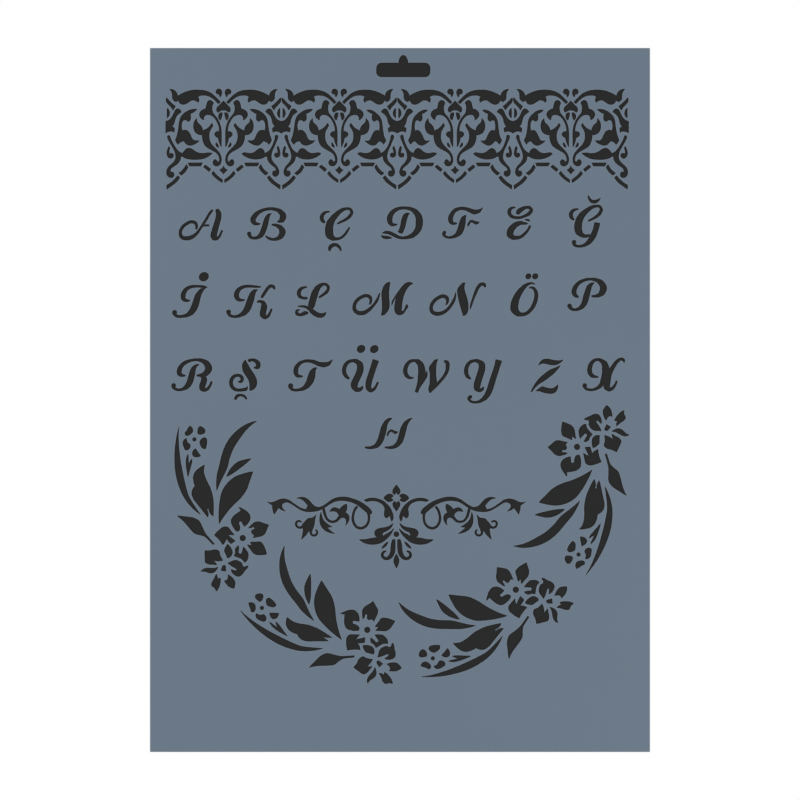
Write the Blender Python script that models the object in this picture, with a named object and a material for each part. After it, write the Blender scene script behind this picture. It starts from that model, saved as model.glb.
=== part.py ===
"""Plastic drawing stencil: one thin sheet with a hang slot, a scrolled border, an alphabet and a wreath.

The sheet lies flat on the XY plane, its underside at z = 0 and its hang slot towards +Y.
Everything a pen follows is a true opening through the sheet. Each motif is drawn once, by hand, as
outlines and pen strokes in drawing units, and the sizes below bring it to its real size in metres.
The free space of the sheet is shared out between the motifs, so a changed size moves its neighbours.
"""
import cmath
import math
from dataclasses import dataclass

import bpy
from mathutils.geometry import delaunay_2d_cdt

# Sheet
SHEET_WIDTH = 0.250
SHEET_HEIGHT = 0.352
SHEET_THICKNESS = 0.0004

# Hang slot, a bar with a hump in the middle of its upper edge
SLOT_LENGTH = 0.0269
SLOT_HEIGHT = 0.0071
SLOT_CORNER_RADIUS = 0.0026
SLOT_OFFSET = 0.00165
HUMP_WIDTH = 0.0048
HUMP_HEIGHT = 0.00385

# Border of scrolls
BORDER_HEIGHT = 0.0508
BORDER_MOTIFS = 4
BORDER_LEFT_MARGIN = 0.0078
BORDER_RIGHT_MARGIN = 0.01065

# Alphabet: height of the capitals, and each row's side margins
LETTER_HEIGHT = 0.0165
ROW_MARGINS = ((0.0141, 0.0236), (0.0110, 0.0216), (0.0105, 0.0125))

# Wreath of flower sprays, the gap between it and the ornament inside, and the last letter's place from
# the wreath's centre
WREATH_MARGIN = 0.01019
ORNAMENT_CLEARANCE = 0.0019
LAST_LETTER_X = -0.0057
LAST_LETTER_Y = 0.00305

# Gaps down the sheet: above the slot, slot to border, border to capitals, between the rows of capitals,
# capitals to wreath, and below the wreath
COLUMN_GAPS = (0.00355, 0.00585, 0.0085, 0.0215, 0.0210, 0.0069, 0.03405)

# Straight facets of the cut-outs: how many points they share, and the flatness that they start from
CUT_OUT_POINTS = 2850
FINEST_FLATNESS = 0.0002
COARSER = 1.05
SMALL_HOLE_FLATNESS = 0.10

# Steps that curves are drawn with before the facets are picked from them
SPAN_STEPS = 6
DOT_STEPS = 32
CAP_STEPS = 8
CORNER_STEPS = 8
HUMP_STEPS = 16
HUMP_FULLNESS = 1.15

# A point of a cut-out where its line turns this sharply is a tip, and so is one between opposed chords
TIP_TURN = math.radians(40)
TIP_NORMAL = 0.5

# Points closer than this are one point
MERGE_DISTANCE = 1e-8

# Two unit vectors are parallel when their cross product is below this
PARALLEL = 1e-9

# A Bezier handle is this share of its chord, over one plus the cosine of its turn from the chord
HANDLE_SHARE = 2 / 3

# Marks on an outline's nodes and on a stroke's end nodes
CORNER = "corner"
FLAT = "flat"


def lies_straight(tangent, direction):
    return abs((tangent * direction.conjugate()).imag) < PARALLEL


def bezier_point(p0, p1, p2, p3, t):
    s = 1 - t
    return s**3 * p0 + 3 * s * s * t * p1 + 3 * s * t * t * p2 + t**3 * p3


def curve_span(start, end, leaving, arriving):
    """Control points of a Bezier curve between two nodes, close to an arc with the given unit tangents."""
    chord = end - start
    direction = chord / abs(chord)
    handle = abs(chord) * HANDLE_SHARE
    reach_out = handle / (1 + max(0.0, (leaving * direction.conjugate()).real))
    reach_in = handle / (1 + max(0.0, (arriving * direction.conjugate()).real))
    return start, start + leaving * reach_out, end - arriving * reach_in, end


def smooth_tangent(before, at, after):
    """Unit tangent at a node, along the circle through the node and its two neighbours."""
    a = at - before
    b = after - at
    tangent = a * (abs(b) / abs(a)) + b * (abs(a) / abs(b))
    return tangent / abs(tangent)


def mirrored_tangent(tangent, start, end):
    """Unit tangent at one end of a simple arc, found from the tangent at its other end."""
    direction = (end - start) / abs(end - start)
    return direction * direction * tangent.conjugate()


@dataclass(frozen=True)
class Outline:
    """Closed line through its nodes (x, y), smooth at each node unless the node is marked as a corner."""
    nodes: tuple

    def polygons(self):
        points = [complex(node[0], node[1]) for node in self.nodes]
        count = len(points)
        tangents = []
        for i, node in enumerate(self.nodes):
            if node[-1] == CORNER:
                tangents.append(None)
            else:
                tangents.append(smooth_tangent(points[i - 1], points[i], points[(i + 1) % count]))
        line = []
        for i in range(count):
            start = points[i]
            end = points[(i + 1) % count]
            leaving = tangents[i]
            arriving = tangents[(i + 1) % count]
            direction = (end - start) / abs(end - start)
            if leaving is None and arriving is None:
                leaving = direction
                arriving = direction
            elif leaving is None:
                leaving = mirrored_tangent(arriving, start, end)
            elif arriving is None:
                arriving = mirrored_tangent(leaving, start, end)
            straight = lies_straight(leaving, direction) and lies_straight(arriving, direction)
            steps = 1 if straight else SPAN_STEPS
            span = curve_span(start, end, leaving, arriving)
            line += [bezier_point(*span, step / steps) for step in range(steps)]
        return [line]


@dataclass(frozen=True)
class HalfOutline:
    """Half of a closed outline, from the upright axis back to it; its mirror image is the other half."""
    nodes: tuple

    def polygons(self):
        back = [(-node[0], *node[1:]) for node in reversed(self.nodes[1:-1])]
        return Outline((*self.nodes, *back)).polygons()


@dataclass(frozen=True)
class Dot:
    """Oval dot: its centre, its two radii and the turn of the first radius in degrees."""
    x: float
    y: float
    long_radius: float
    short_radius: float
    tilt: float = 0.0

    def polygons(self):
        turn = cmath.exp(1j * math.radians(self.tilt))
        oval = []
        for step in range(DOT_STEPS):
            angle = 2 * math.pi * step / DOT_STEPS
            point = complex(self.long_radius * math.cos(angle), self.short_radius * math.sin(angle))
            oval.append(complex(self.x, self.y) + turn * point)
        return [oval]


@dataclass(frozen=True)
class Stroke:
    """Pen stroke along nodes (x, y, width), round at its ends unless an end node is marked as flat."""
    nodes: tuple

    def tangents(self, points):
        inner = [smooth_tangent(*points[i - 1:i + 2]) for i in range(1, len(points) - 1)]
        if not inner:
            direction = (points[1] - points[0]) / abs(points[1] - points[0])
            return [direction, direction]
        first = mirrored_tangent(inner[0], points[0], points[1])
        last = mirrored_tangent(inner[-1], points[-2], points[-1])
        return [first, *inner, last]

    def rungs(self):
        """Left and right edge points across the stroke, from its start to its end."""
        points = [complex(node[0], node[1]) for node in self.nodes]
        tangents = self.tangents(points)
        ladder = []
        for i in range(len(points) - 1):
            p0, p1, p2, p3 = curve_span(points[i], points[i + 1], tangents[i], tangents[i + 1])
            steps = range(SPAN_STEPS + (i == len(points) - 2))
            for t in [step / SPAN_STEPS for step in steps]:
                s = 1 - t
                along = s * s * (p1 - p0) + 2 * s * t * (p2 - p1) + t * t * (p3 - p2)
                blend = t * t * (3 - 2 * t)
                width = self.nodes[i][2] * (1 - blend) + self.nodes[i + 1][2] * blend
                across = 1j * along / abs(along) * width / 2
                centre = bezier_point(p0, p1, p2, p3, t)
                ladder.append((centre + across, centre - across))
        return ladder

    def cap(self, left, right):
        """Half disc over the end rung, on its far side when left and right are seen along the stroke."""
        centre = (left + right) / 2
        return [centre + (left - centre) * cmath.exp(-1j * math.pi * step / CAP_STEPS)
                for step in range(CAP_STEPS + 1)]

    def polygons(self):
        ladder = self.rungs()
        pieces = []
        for (left, right), (next_left, next_right) in zip(ladder, ladder[1:]):
            pieces.append([left, right, next_left])
            pieces.append([right, next_right, next_left])
        if self.nodes[-1][-1] != FLAT:
            pieces.append(self.cap(*ladder[-1]))
        if self.nodes[0][-1] != FLAT:
            pieces.append(self.cap(ladder[0][1], ladder[0][0]))
        return pieces


# Half a motif of the border, from its axis outwards and up from the border's base
BORDER_HALF = (
    Outline((
        (0.7, 49.1), (1.2, 50.3), (2.4, 50.8), (3.6, 50.1), (3.8, 49.0), (3.1, 48.1), (2.3, 48.0, CORNER),
        (2.0, 47.1), (1.7, 46.4, CORNER), (1.1, 47.4)
    )),
    Outline((
        (0.45, 38.8, CORNER), (1.8, 38.7), (2.5, 37.6), (1.4, 34.9, CORNER), (0.95, 36.2), (0.6, 37.4)
    )),
    Outline((
        (1.4, 44.1, CORNER), (3.6, 46.4), (6.3, 48.7), (9.5, 49.95), (13.0, 50.3), (16.5, 50.0),
        (19.6, 49.0), (22.8, 47.3, CORNER), (23.5, 49.1), (24.8, 50.2), (27.1, 50.6, CORNER), (25.9, 49.1),
        (25.6, 47.4), (25.5, 45.8), (24.7, 44.7), (23.8, 44.15, CORNER), (22.5, 44.9, CORNER),
        (21.8, 43.5), (20.2, 42.85), (18.6, 43.2), (17.2, 44.1), (15.8, 44.95), (14.2, 44.85),
        (12.7, 43.8, CORNER), (12.15, 45.1), (12.7, 46.7, CORNER), (11.6, 47.3), (9.8, 47.45), (7.6, 47.1),
        (5.7, 46.1), (4.0, 44.7), (2.5, 43.2, CORNER)
    )),
    Outline((
        (4.9, 43.6, CORNER), (5.7, 44.7), (6.9, 45.1), (8.0, 44.3), (8.5, 42.8), (8.9, 40.9, CORNER),
        (10.3, 40.4), (11.5, 39.5), (12.1, 38.0), (11.7, 36.6), (9.7, 35.05, CORNER), (9.75, 36.4),
        (8.9, 37.5), (7.6, 37.75), (6.0, 37.3), (4.5, 36.1), (3.2, 34.0), (2.4, 32.0), (2.2, 29.5, CORNER),
        (3.4, 29.4), (4.5, 28.0), (3.8, 26.8), (2.7, 26.2, CORNER), (2.3, 24.3), (1.0, 21.4, CORNER),
        (0.95, 25.5), (0.92, 28.5), (1.3, 31.8), (2.3, 34.7), (3.8, 37.0), (5.2, 38.8), (5.6, 40.5),
        (5.5, 42.3)
    )),
    Outline(((3.6, 24.1, CORNER), (3.95, 23.0), (2.2, 21.4, CORNER), (2.75, 22.9))),
    Outline((
        (5.8, 33.8, CORNER), (6.9, 32.2), (8.2, 31.0), (10.35, 30.0, CORNER), (10.7, 31.5), (11.6, 32.8),
        (12.9, 34.0), (13.2, 36.1, CORNER), (14.4, 34.8), (15.0, 32.8), (14.85, 30.6), (14.0, 28.9),
        (12.5, 27.9), (10.7, 27.6, CORNER), (10.6, 25.9), (10.1, 24.0), (9.1, 22.2), (7.5, 20.95),
        (5.6, 19.9), (4.0, 18.95), (2.8, 17.8), (2.15, 16.2), (2.2, 14.7), (2.8, 14.3), (3.3, 15.0),
        (4.2, 15.5), (5.2, 14.6), (5.1, 13.0), (3.7, 12.05), (2.1, 12.5), (1.1, 14.0), (0.97, 16.0),
        (1.5, 17.9), (2.7, 19.7), (4.4, 21.5), (6.0, 23.2), (6.9, 25.2), (7.1, 27.4), (6.8, 29.3),
        (6.0, 30.9), (5.1, 32.4, CORNER)
    )),
    Outline((
        (28.5, 46.5, CORNER), (27.0, 44.8), (25.4, 43.25), (23.85, 42.05, CORNER), (25.2, 39.9, CORNER),
        (26.1, 41.4), (27.4, 42.8), (28.45, 44.0)
    )),
    Outline(((28.25, 41.3, CORNER), (27.3, 40.3), (26.8, 38.7), (27.3, 36.9), (28.25, 36.0, CORNER))),
    Outline((
        (0.5, 3.7, CORNER), (0.45, 5.4, CORNER), (2.9, 7.2), (5.05, 9.8, CORNER), (6.0, 8.3, CORNER),
        (4.7, 6.8), (3.0, 5.3)
    )),
    Outline(((6.2, 10.6, CORNER), (9.0, 12.8, CORNER), (10.2, 11.75, CORNER), (7.15, 9.2, CORNER))),
    Outline(((10.35, 13.8, CORNER), (17.85, 13.8, CORNER), (17.0, 12.05, CORNER), (11.25, 12.05, CORNER))),
    Outline((
        (18.65, 13.15, CORNER), (20.1, 10.6), (22.5, 8.65, CORNER), (21.1, 7.45, CORNER), (19.05, 9.15),
        (17.6, 11.6, CORNER)
    )),
    Outline((
        (22.9, 7.5, CORNER), (25.05, 5.0), (28.45, 2.6, CORNER), (28.35, 0.4, CORNER), (26.05, 2.05),
        (23.75, 3.8), (21.7, 6.35, CORNER)
    )),
)
BORDER_AXIS = (
    HalfOutline((
        (0.0, 44.8, CORNER), (2.0, 42.7), (3.4, 41.1), (3.5, 39.9), (2.65, 38.85, CORNER), (1.5, 39.7),
        (0.0, 40.05)
    )),
    HalfOutline(((0.0, 12.4, CORNER), (0.8, 11.0), (2.2, 10.2, CORNER), (0.95, 9.15), (0.0, 8.0, CORNER))),
)
CROWN_HALF = (
    Outline((
        (28.9, 34.6, CORNER), (27.4, 35.1), (26.1, 36.3), (25.1, 38.0), (24.4, 39.6), (23.7, 40.6),
        (22.6, 40.85), (21.5, 40.2), (20.9, 39.1, CORNER), (22.4, 38.1), (23.4, 37.0), (24.0, 35.6),
        (24.5, 33.6), (25.5, 31.9, CORNER), (24.3, 31.1, CORNER), (24.6, 28.85, CORNER), (25.5, 29.35),
        (26.8, 29.4), (28.9, 28.4, CORNER)
    )),
)

# Bell leaf of a half motif in its slim and its broad form; the halves, counted from the left and the last
# one from the right, that have the broad one
SLIM_BELL = (
    Outline((
        (13.5, 40.2, CORNER), (15.2, 40.3), (17.0, 39.7), (18.8, 38.4), (20.4, 36.7), (21.2, 34.9),
        (21.6, 32.0), (21.95, 29.2), (22.5, 26.8), (23.4, 25.2, CORNER), (22.9, 24.0),
        (22.0, 22.85, CORNER), (21.2, 24.0), (19.8, 24.5, CORNER), (18.9, 23.4), (17.8, 22.6),
        (16.5, 22.4), (15.0, 22.95), (12.5, 25.1, CORNER), (14.0, 24.75), (15.1, 25.1), (15.8, 26.3),
        (16.4, 27.7), (17.3, 29.2), (18.5, 30.1), (19.85, 29.7, CORNER), (20.15, 31.5), (20.0, 33.5),
        (19.5, 34.8), (18.8, 35.1), (17.6, 34.4), (16.5, 35.2), (16.3, 36.8), (16.5, 38.2, CORNER),
        (15.2, 38.75)
    )),
)
BROAD_BELL = (
    Outline((
        (13.1, 40.6, CORNER), (15.3, 40.6), (17.2, 40.1), (19.3, 38.9), (21.1, 37.1), (22.0, 34.9),
        (22.4, 32.0), (22.8, 29.4), (23.3, 27.3), (24.15, 25.2, CORNER), (23.6, 24.0),
        (22.6, 22.75, CORNER), (21.5, 24.0), (19.8, 24.5, CORNER), (18.9, 23.4), (17.8, 22.6),
        (16.5, 22.4), (14.6, 22.9), (11.9, 25.0, CORNER), (13.5, 24.9), (15.0, 25.2), (15.8, 26.3),
        (16.4, 27.7), (17.3, 29.2), (18.5, 30.1), (20.5, 29.8, CORNER), (20.85, 31.5), (20.7, 33.5),
        (20.0, 34.9), (18.8, 35.1), (17.6, 34.4), (16.5, 35.2), (16.3, 36.8), (16.5, 38.2, CORNER),
        (15.0, 38.9)
    )),
)
BROAD_BELL_HALVES = (0, 1, 2, -1)

# Stem, foot leaf and hook of a half motif beside another motif, and at an end of the border
INNER_FOOT = (
    Outline((
        (25.75, 27.2), (26.4, 27.8), (27.25, 27.2), (27.15, 26.0), (26.4, 24.2), (25.6, 22.2), (24.7, 20.3),
        (24.1, 18.4), (23.9, 16.6), (24.3, 15.1), (25.4, 13.5), (26.7, 12.1), (27.5, 10.6), (27.8, 9.0),
        (27.2, 7.5), (26.0, 6.85), (24.8, 7.3), (24.35, 8.6), (25.0, 9.8, CORNER), (26.2, 9.9, CORNER),
        (26.0, 10.9), (24.9, 11.95), (23.4, 13.2), (22.2, 14.8), (21.75, 16.8, CORNER),
        (21.0, 16.9, CORNER), (19.4, 16.0), (17.0, 15.5), (14.4, 15.6), (12.0, 16.3), (10.2, 17.3),
        (9.0, 18.3, CORNER), (10.3, 18.95), (12.3, 18.65), (14.2, 18.65), (15.8, 19.4), (17.1, 20.55),
        (18.4, 21.1), (19.6, 20.6), (20.6, 18.6, CORNER), (22.0, 19.3), (23.3, 20.6), (24.2, 22.1),
        (25.0, 24.1), (25.6, 26.0)
    )),
    Outline((
        (26.7, 21.5), (27.2, 22.1), (27.75, 21.2), (28.3, 19.3), (28.3, 17.8), (27.6, 16.7),
        (26.5, 16.4), (25.5, 17.1), (25.45, 18.15), (26.1, 18.75), (27.05, 18.5, CORNER), (27.0, 19.8)
    )),
)
END_FOOT = (
    Outline((
        (26.6, 26.9), (27.2, 27.5), (28.0, 27.0), (27.9, 26.0), (27.0, 24.2), (25.9, 22.2), (24.8, 20.3),
        (24.1, 18.4), (23.9, 16.6), (24.3, 15.1), (25.5, 13.6), (27.1, 12.2), (28.15, 10.7), (28.5, 8.9),
        (27.9, 7.1), (26.5, 6.3), (25.1, 6.6), (24.6, 7.9), (25.2, 9.15, CORNER), (26.4, 9.3, CORNER),
        (26.4, 10.3), (25.2, 11.6), (23.3, 12.9), (21.8, 14.6), (21.2, 16.8, CORNER),
        (20.6, 16.9, CORNER), (19.1, 16.0), (16.4, 15.4), (13.0, 15.35), (9.6, 15.9), (7.4, 17.0),
        (5.35, 18.6, CORNER), (7.6, 18.85), (10.2, 18.55), (12.4, 18.8), (13.96, 19.5), (15.2, 20.4),
        (16.7, 21.1), (18.0, 21.1), (19.0, 20.4), (20.4, 18.6, CORNER), (22.0, 19.3), (23.3, 20.6),
        (24.4, 22.2), (25.5, 24.2), (26.4, 26.1)
    )),
    Outline((
        (26.7, 21.3), (27.15, 21.9), (27.75, 21.0), (28.3, 19.3), (28.2, 17.5), (27.4, 16.3),
        (26.2, 15.9), (25.15, 16.6), (24.9, 17.8), (25.7, 18.55), (27.0, 18.3, CORNER), (27.05, 19.8)
    )),
)

# Letters, each from its own left edge and baseline
LETTER_DRAWN_HEIGHT = 16.5
LETTERS = {
    "A": (
        Stroke((
            (9.05, 5.9, 1.0), (9.2, 7.3, 1.3), (8.5, 8.7, 1.6), (6.9, 9.25, 1.5), (4.2, 8.3, 1.5),
            (1.9, 6.2, 1.5), (1.05, 3.7, 1.5), (1.8, 1.6, 1.8), (4.0, 1.0, 2.0), (6.6, 1.5, 1.9),
            (9.2, 3.4, 1.4), (11.0, 5.8, 1.1), (12.4, 7.9, 1.2), (14.2, 10.8, 1.2), (16.0, 13.8, 1.2),
            (17.0, 15.0, 0.9)
        )),
        Stroke(((12.4, 7.45, 1.0), (15.1, 7.5, 0.9))),
        Stroke((
            (19.7, 14.7, 2.1), (20.2, 13.4, 2.6), (20.1, 11.2, 2.8), (19.2, 8.0, 2.8), (18.3, 4.8, 3.0),
            (17.8, 2.2, 3.2), (18.0, 1.55, 2.9)
        )),
        Stroke((
            (17.8, 0.9, 1.8), (19.2, 0.9, 1.7), (20.4, 1.7, 1.2), (21.2, 3.2, 0.95), (21.9, 4.7, 0.85)
        )),
    ),
    "B": (
        Stroke((
            (6.3, 8.25, 0.7), (5.0, 8.2, 1.3), (3.6, 8.7, 2.1), (2.9, 10.2, 2.6), (3.9, 12.3, 2.4),
            (5.9, 14.1, 1.8), (8.5, 15.3, 1.5), (11.5, 15.8, 1.4), (14.4, 15.4, 1.6), (16.7, 14.2, 2.4),
            (17.9, 12.2, 3.2), (17.3, 10.2, 2.8), (16.2, 9.5, 1.5), (15.2, 9.3, 0.6)
        )),
        Stroke((
            (11.9, 13.3, 0.5), (10.7, 12.5, 1.6), (9.8, 10.7, 2.4), (9.1, 8.2, 2.7), (8.2, 5.2, 2.7),
            (7.0, 2.8, 2.5), (5.3, 1.5, 1.7), (3.4, 1.1, 1.3), (1.9, 1.5, 1.4), (1.1, 2.6, 1.6),
            (1.0, 3.3, 2.0)
        )),
        Stroke((
            (12.6, 7.8, 0.9), (14.5, 7.5, 1.5), (16.5, 6.4, 2.3), (17.6, 4.4, 3.2), (16.9, 2.2, 2.7),
            (15.2, 0.9, 1.8), (13.2, 0.45, 1.3), (11.3, 0.8, 1.2), (10.0, 1.5, 1.0), (9.4, 2.1, 0.7)
        )),
    ),
    "Ç": (
        Stroke((
            (5.2, 14.3, 0.5), (3.8, 14.2, 1.0), (2.2, 13.3, 1.6), (1.3, 11.7, 1.9), (1.6, 10.0, 1.8),
            (2.4, 9.2, 1.3)
        )),
        Stroke((
            (9.3, 8.4, 0.7), (11.3, 9.4, 1.1), (13.6, 10.6, 1.3), (15.4, 12.2, 1.6), (16.3, 14.2, 1.4),
            (15.4, 15.6, 1.3), (13.6, 15.8, 1.3), (11.4, 15.1, 1.8), (9.0, 13.2, 2.4), (6.9, 10.9, 3.0),
            (5.4, 8.2, 3.7), (4.95, 5.2, 4.0), (5.3, 2.7, 3.9), (6.6, 1.2, 2.6), (8.6, 0.7, 1.4),
            (10.6, 1.1, 1.2), (12.3, 2.3, 1.2), (13.8, 4.2, 1.1), (15.0, 6.2, 0.8)
        )),
        Stroke((
            (5.2, -4.7, 1.3), (5.6, -3.4, 1.8), (6.9, -2.4, 1.8), (8.5, -2.3, 1.6), (9.9, -3.2, 1.4),
            (10.8, -4.9, 0.8)
        )),
    ),
    "D": (
        Stroke((
            (7.9, 8.0, 0.5), (6.9, 7.8, 1.1), (5.4, 7.9, 1.7), (4.4, 9.4, 2.5), (4.3, 11.2, 2.7),
            (5.2, 13.4, 2.3), (7.0, 15.1, 1.9), (9.3, 16.0, 1.5), (12.0, 16.2, 1.4), (15.0, 15.6, 1.8),
            (17.4, 14.0, 2.7), (18.9, 11.4, 3.3), (19.1, 8.8, 3.6), (18.7, 6.2, 3.2), (17.4, 4.0, 2.8),
            (15.6, 2.4, 2.3), (13.2, 1.5, 1.7), (10.9, 1.2, 1.3), (8.6, 1.6, 1.5), (6.4, 2.7, 1.7),
            (4.2, 3.7, 1.7), (2.3, 4.0, 1.4), (0.9, 3.7, 0.6)
        )),
        Outline((
            (0.0, 2.6, CORNER), (1.3, 2.3), (3.4, 2.1), (5.6, 1.2, CORNER), (4.0, 0.7), (2.0, 0.7),
            (0.5, 1.3)
        )),
        Outline((
            (14.3, 13.6, CORNER), (13.0, 13.75), (11.7, 13.3), (10.7, 12.0), (10.1, 10.0), (9.7, 7.8),
            (9.2, 6.0), (8.3, 4.3, CORNER), (9.4, 3.6), (10.6, 3.4, CORNER), (11.6, 5.6), (12.3, 7.8),
            (12.8, 10.2), (13.4, 12.0)
        )),
    ),
    "F": (
        Stroke((
            (6.9, 8.5, 0.9), (5.6, 8.4, 1.4), (4.5, 9.2, 2.1), (4.2, 10.9, 2.4), (4.9, 13.0, 2.1),
            (6.4, 14.9, 1.8), (8.8, 15.9, 1.5), (11.5, 15.8, 1.6), (13.8, 15.0, 2.0), (16.2, 14.2, 2.4),
            (18.3, 14.6, 1.8), (19.5, 15.5, 0.8), (20.3, 16.4, 0.15)
        )),
        Stroke((
            (11.5, 12.1, 1.1), (10.7, 10.8, 2.5), (10.1, 8.6, 3.1), (9.5, 6.2, 3.2), (8.5, 3.9, 2.9),
            (6.9, 2.4, 1.9), (5.0, 1.6, 1.3), (3.2, 1.4, 1.1), (1.6, 2.0, 1.2), (0.8, 3.2, 1.4),
            (1.2, 3.9, 1.6)
        )),
        Stroke((
            (13.0, 7.4, 0.8), (13.5, 8.6, 1.0), (14.6, 9.6, 1.1), (16.0, 9.1, 1.3), (17.2, 8.7, 1.6),
            (18.3, 9.1, 0.6)
        )),
    ),
    "E": (
        Stroke((
            (4.4, 16.4, 0.6), (3.0, 16.2, 1.2), (1.8, 15.2, 1.7), (1.6, 13.7, 1.8), (2.6, 12.1, 1.6),
            (4.6, 11.4, 1.4), (7.0, 11.4, 1.2), (9.6, 12.3, 1.4), (11.7, 13.6, 1.7), (12.6, 15.1, 1.6),
            (11.8, 16.3, 1.5), (10.3, 16.5, 1.4), (8.3, 15.8, 1.9), (6.7, 14.8, 2.4), (6.0, 13.9, 2.1)
        )),
        Stroke(((9.6, 10.3, 0.5), (10.6, 10.2, 0.9), (11.5, 9.9, 0.9))),
        Stroke((
            (10.3, 8.4, 0.9), (8.9, 8.5, 1.3), (7.3, 8.7, 1.9), (5.4, 8.1, 2.5), (3.5, 6.7, 2.9),
            (2.2, 4.7, 3.3), (2.0, 2.9, 3.3), (3.2, 1.6, 2.4), (5.2, 1.3, 1.8), (7.4, 1.8, 1.5),
            (9.2, 3.2, 1.3), (10.8, 5.0, 1.2), (11.9, 7.0, 1.0)
        )),
    ),
    "Ğ": (
        Outline((
            (10.0, 22.9, CORNER), (10.0, 21.0), (10.8, 19.4), (12.2, 18.5), (14.0, 18.6), (15.4, 19.6),
            (16.3, 21.5, CORNER), (15.2, 20.7), (13.4, 20.2), (11.8, 20.4), (10.8, 21.6)
        )),
        Stroke((
            (5.0, 15.6, 0.6), (3.6, 15.4, 1.1), (2.2, 14.6, 1.6), (1.4, 13.1, 1.9), (1.7, 11.5, 1.7),
            (2.6, 10.5, 1.1)
        )),
        Stroke((
            (10.3, 9.8, 0.8), (12.2, 10.7, 1.1), (14.2, 11.9, 1.4), (15.9, 13.6, 1.6), (16.6, 15.4, 1.5),
            (15.8, 16.9, 1.3), (14.0, 17.1, 1.3), (11.8, 16.5, 1.7), (9.3, 14.8, 2.3), (7.0, 12.6, 3.1),
            (5.5, 9.8, 3.6), (5.0, 6.8, 3.8), (5.5, 4.2, 3.6), (7.0, 2.6, 2.3), (8.8, 2.1, 1.5),
            (10.4, 2.4, 1.3)
        )),
        Stroke((
            (14.6, 8.8, 2.9, FLAT), (13.8, 5.4, 2.7), (12.5, 2.2, 2.9), (10.8, -0.4, 2.5),
            (8.8, -2.1, 1.7), (6.6, -2.9, 1.3), (4.6, -2.9, 1.2), (3.0, -2.0, 1.4), (3.0, -0.9, 2.1)
        )),
    ),
    "İ": (
        Dot(15.9, 19.8, 2.5, 2.2, 30.0),
        Stroke((
            (8.6, 7.9, 0.8), (7.2, 7.9, 1.4), (5.8, 8.7, 2.1), (5.6, 10.4, 2.4), (6.3, 12.5, 2.1),
            (7.9, 14.1, 1.7), (10.1, 14.9, 1.4), (13.0, 15.0, 1.1), (15.4, 14.9, 1.2), (17.4, 14.6, 0.5)
        )),
        Stroke((
            (17.2, 14.6, 0.5), (15.8, 13.9, 1.3), (14.2, 12.3, 2.2), (12.9, 10.0, 3.0), (12.1, 7.2, 3.3),
            (11.1, 4.4, 3.3), (9.7, 2.2, 2.9), (7.8, 0.7, 2.0), (5.6, 0.1, 1.4), (3.6, -0.1, 1.3),
            (1.9, 0.5, 1.5), (1.3, 1.9, 2.4)
        )),
    ),
    "K": (
        Stroke((
            (9.0, 8.2, 0.7), (7.8, 8.1, 1.2), (6.1, 8.6, 2.0), (5.2, 10.4, 2.5), (5.8, 12.6, 2.2),
            (7.5, 14.2, 1.7), (10.0, 15.0, 1.4), (13.0, 15.0, 1.2), (15.6, 14.75, 1.0), (17.3, 14.7, 0.5)
        )),
        Stroke((
            (15.6, 13.1, 0.6), (14.2, 12.5, 1.9), (13.2, 11.0, 2.8), (12.5, 9.0, 3.2), (11.7, 6.6, 3.4),
            (10.8, 4.2, 3.3), (9.2, 1.9, 2.7), (7.2, 0.6, 1.8), (5.0, -0.1, 1.3), (3.0, 0.0, 1.3),
            (1.5, 1.0, 1.5), (1.3, 2.2, 2.3)
        )),
        Stroke((
            (18.0, 9.7, 1.3), (19.5, 12.0, 1.5), (21.0, 14.2, 1.5), (22.6, 15.2, 1.5), (23.8, 14.7, 1.4),
            (24.1, 14.0, 1.1)
        )),
        Stroke((
            (16.0, 7.3, 1.1), (17.4, 7.4, 1.3), (18.6, 6.6, 2.2), (19.0, 4.9, 3.0), (18.6, 2.6, 3.0),
            (18.5, 0.8, 3.1), (19.4, -0.4, 2.0), (20.8, 0.0, 1.5), (21.9, 1.6, 1.1), (22.7, 3.4, 0.9)
        )),
    ),
    "L": (
        Stroke((
            (5.8, 14.6, 0.6), (4.4, 14.4, 1.1), (2.7, 13.5, 1.7), (1.9, 11.9, 1.9), (2.3, 10.1, 1.7),
            (3.8, 9.2, 1.3), (5.7, 9.1, 1.2)
        )),
        Stroke((
            (12.2, 9.6, 0.9), (13.9, 10.7, 1.2), (15.6, 12.0, 1.5), (16.6, 13.9, 1.4), (16.1, 15.5, 1.3),
            (14.5, 16.1, 1.3), (12.6, 15.4, 2.0), (10.8, 13.4, 2.9), (9.7, 10.9, 3.4), (8.9, 8.2, 3.4),
            (8.2, 5.6, 3.3), (7.7, 4.2, 2.6)
        )),
        Stroke((
            (1.5, 4.9, 0.4), (3.4, 5.0, 1.0), (5.4, 4.7, 1.2), (7.2, 3.7, 1.8), (8.9, 2.2, 2.4),
            (10.8, 0.9, 2.4), (12.7, 0.4, 2.3), (14.2, 0.8, 1.8), (15.4, 1.9, 0.5)
        )),
        Stroke((
            (2.0, 3.2, 0.7), (0.9, 2.6, 1.3), (0.9, 1.4, 1.5), (2.2, 0.8, 1.4), (3.7, 1.0, 1.6),
            (4.9, 1.6, 2.0), (5.9, 1.7, 1.4)
        )),
    ),
    "M": (
        Stroke((
            (8.9, 6.3, 0.9), (9.4, 7.9, 1.2), (8.9, 9.6, 1.6), (7.2, 10.3, 1.6), (4.8, 9.7, 1.6),
            (2.4, 7.9, 1.6), (1.1, 5.4, 1.6), (1.4, 3.0, 1.8), (3.2, 1.7, 2.0), (5.6, 1.7, 2.0),
            (8.2, 3.1, 1.7), (10.6, 5.4, 1.3), (12.3, 7.8, 1.3), (13.3, 10.0, 0.9), (13.9, 11.7, 0.3)
        )),
        Outline((
            (19.1, 17.2, CORNER), (17.6, 16.9), (15.8, 15.0), (14.8, 12.0), (14.9, 8.0), (15.0, 4.0),
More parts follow.
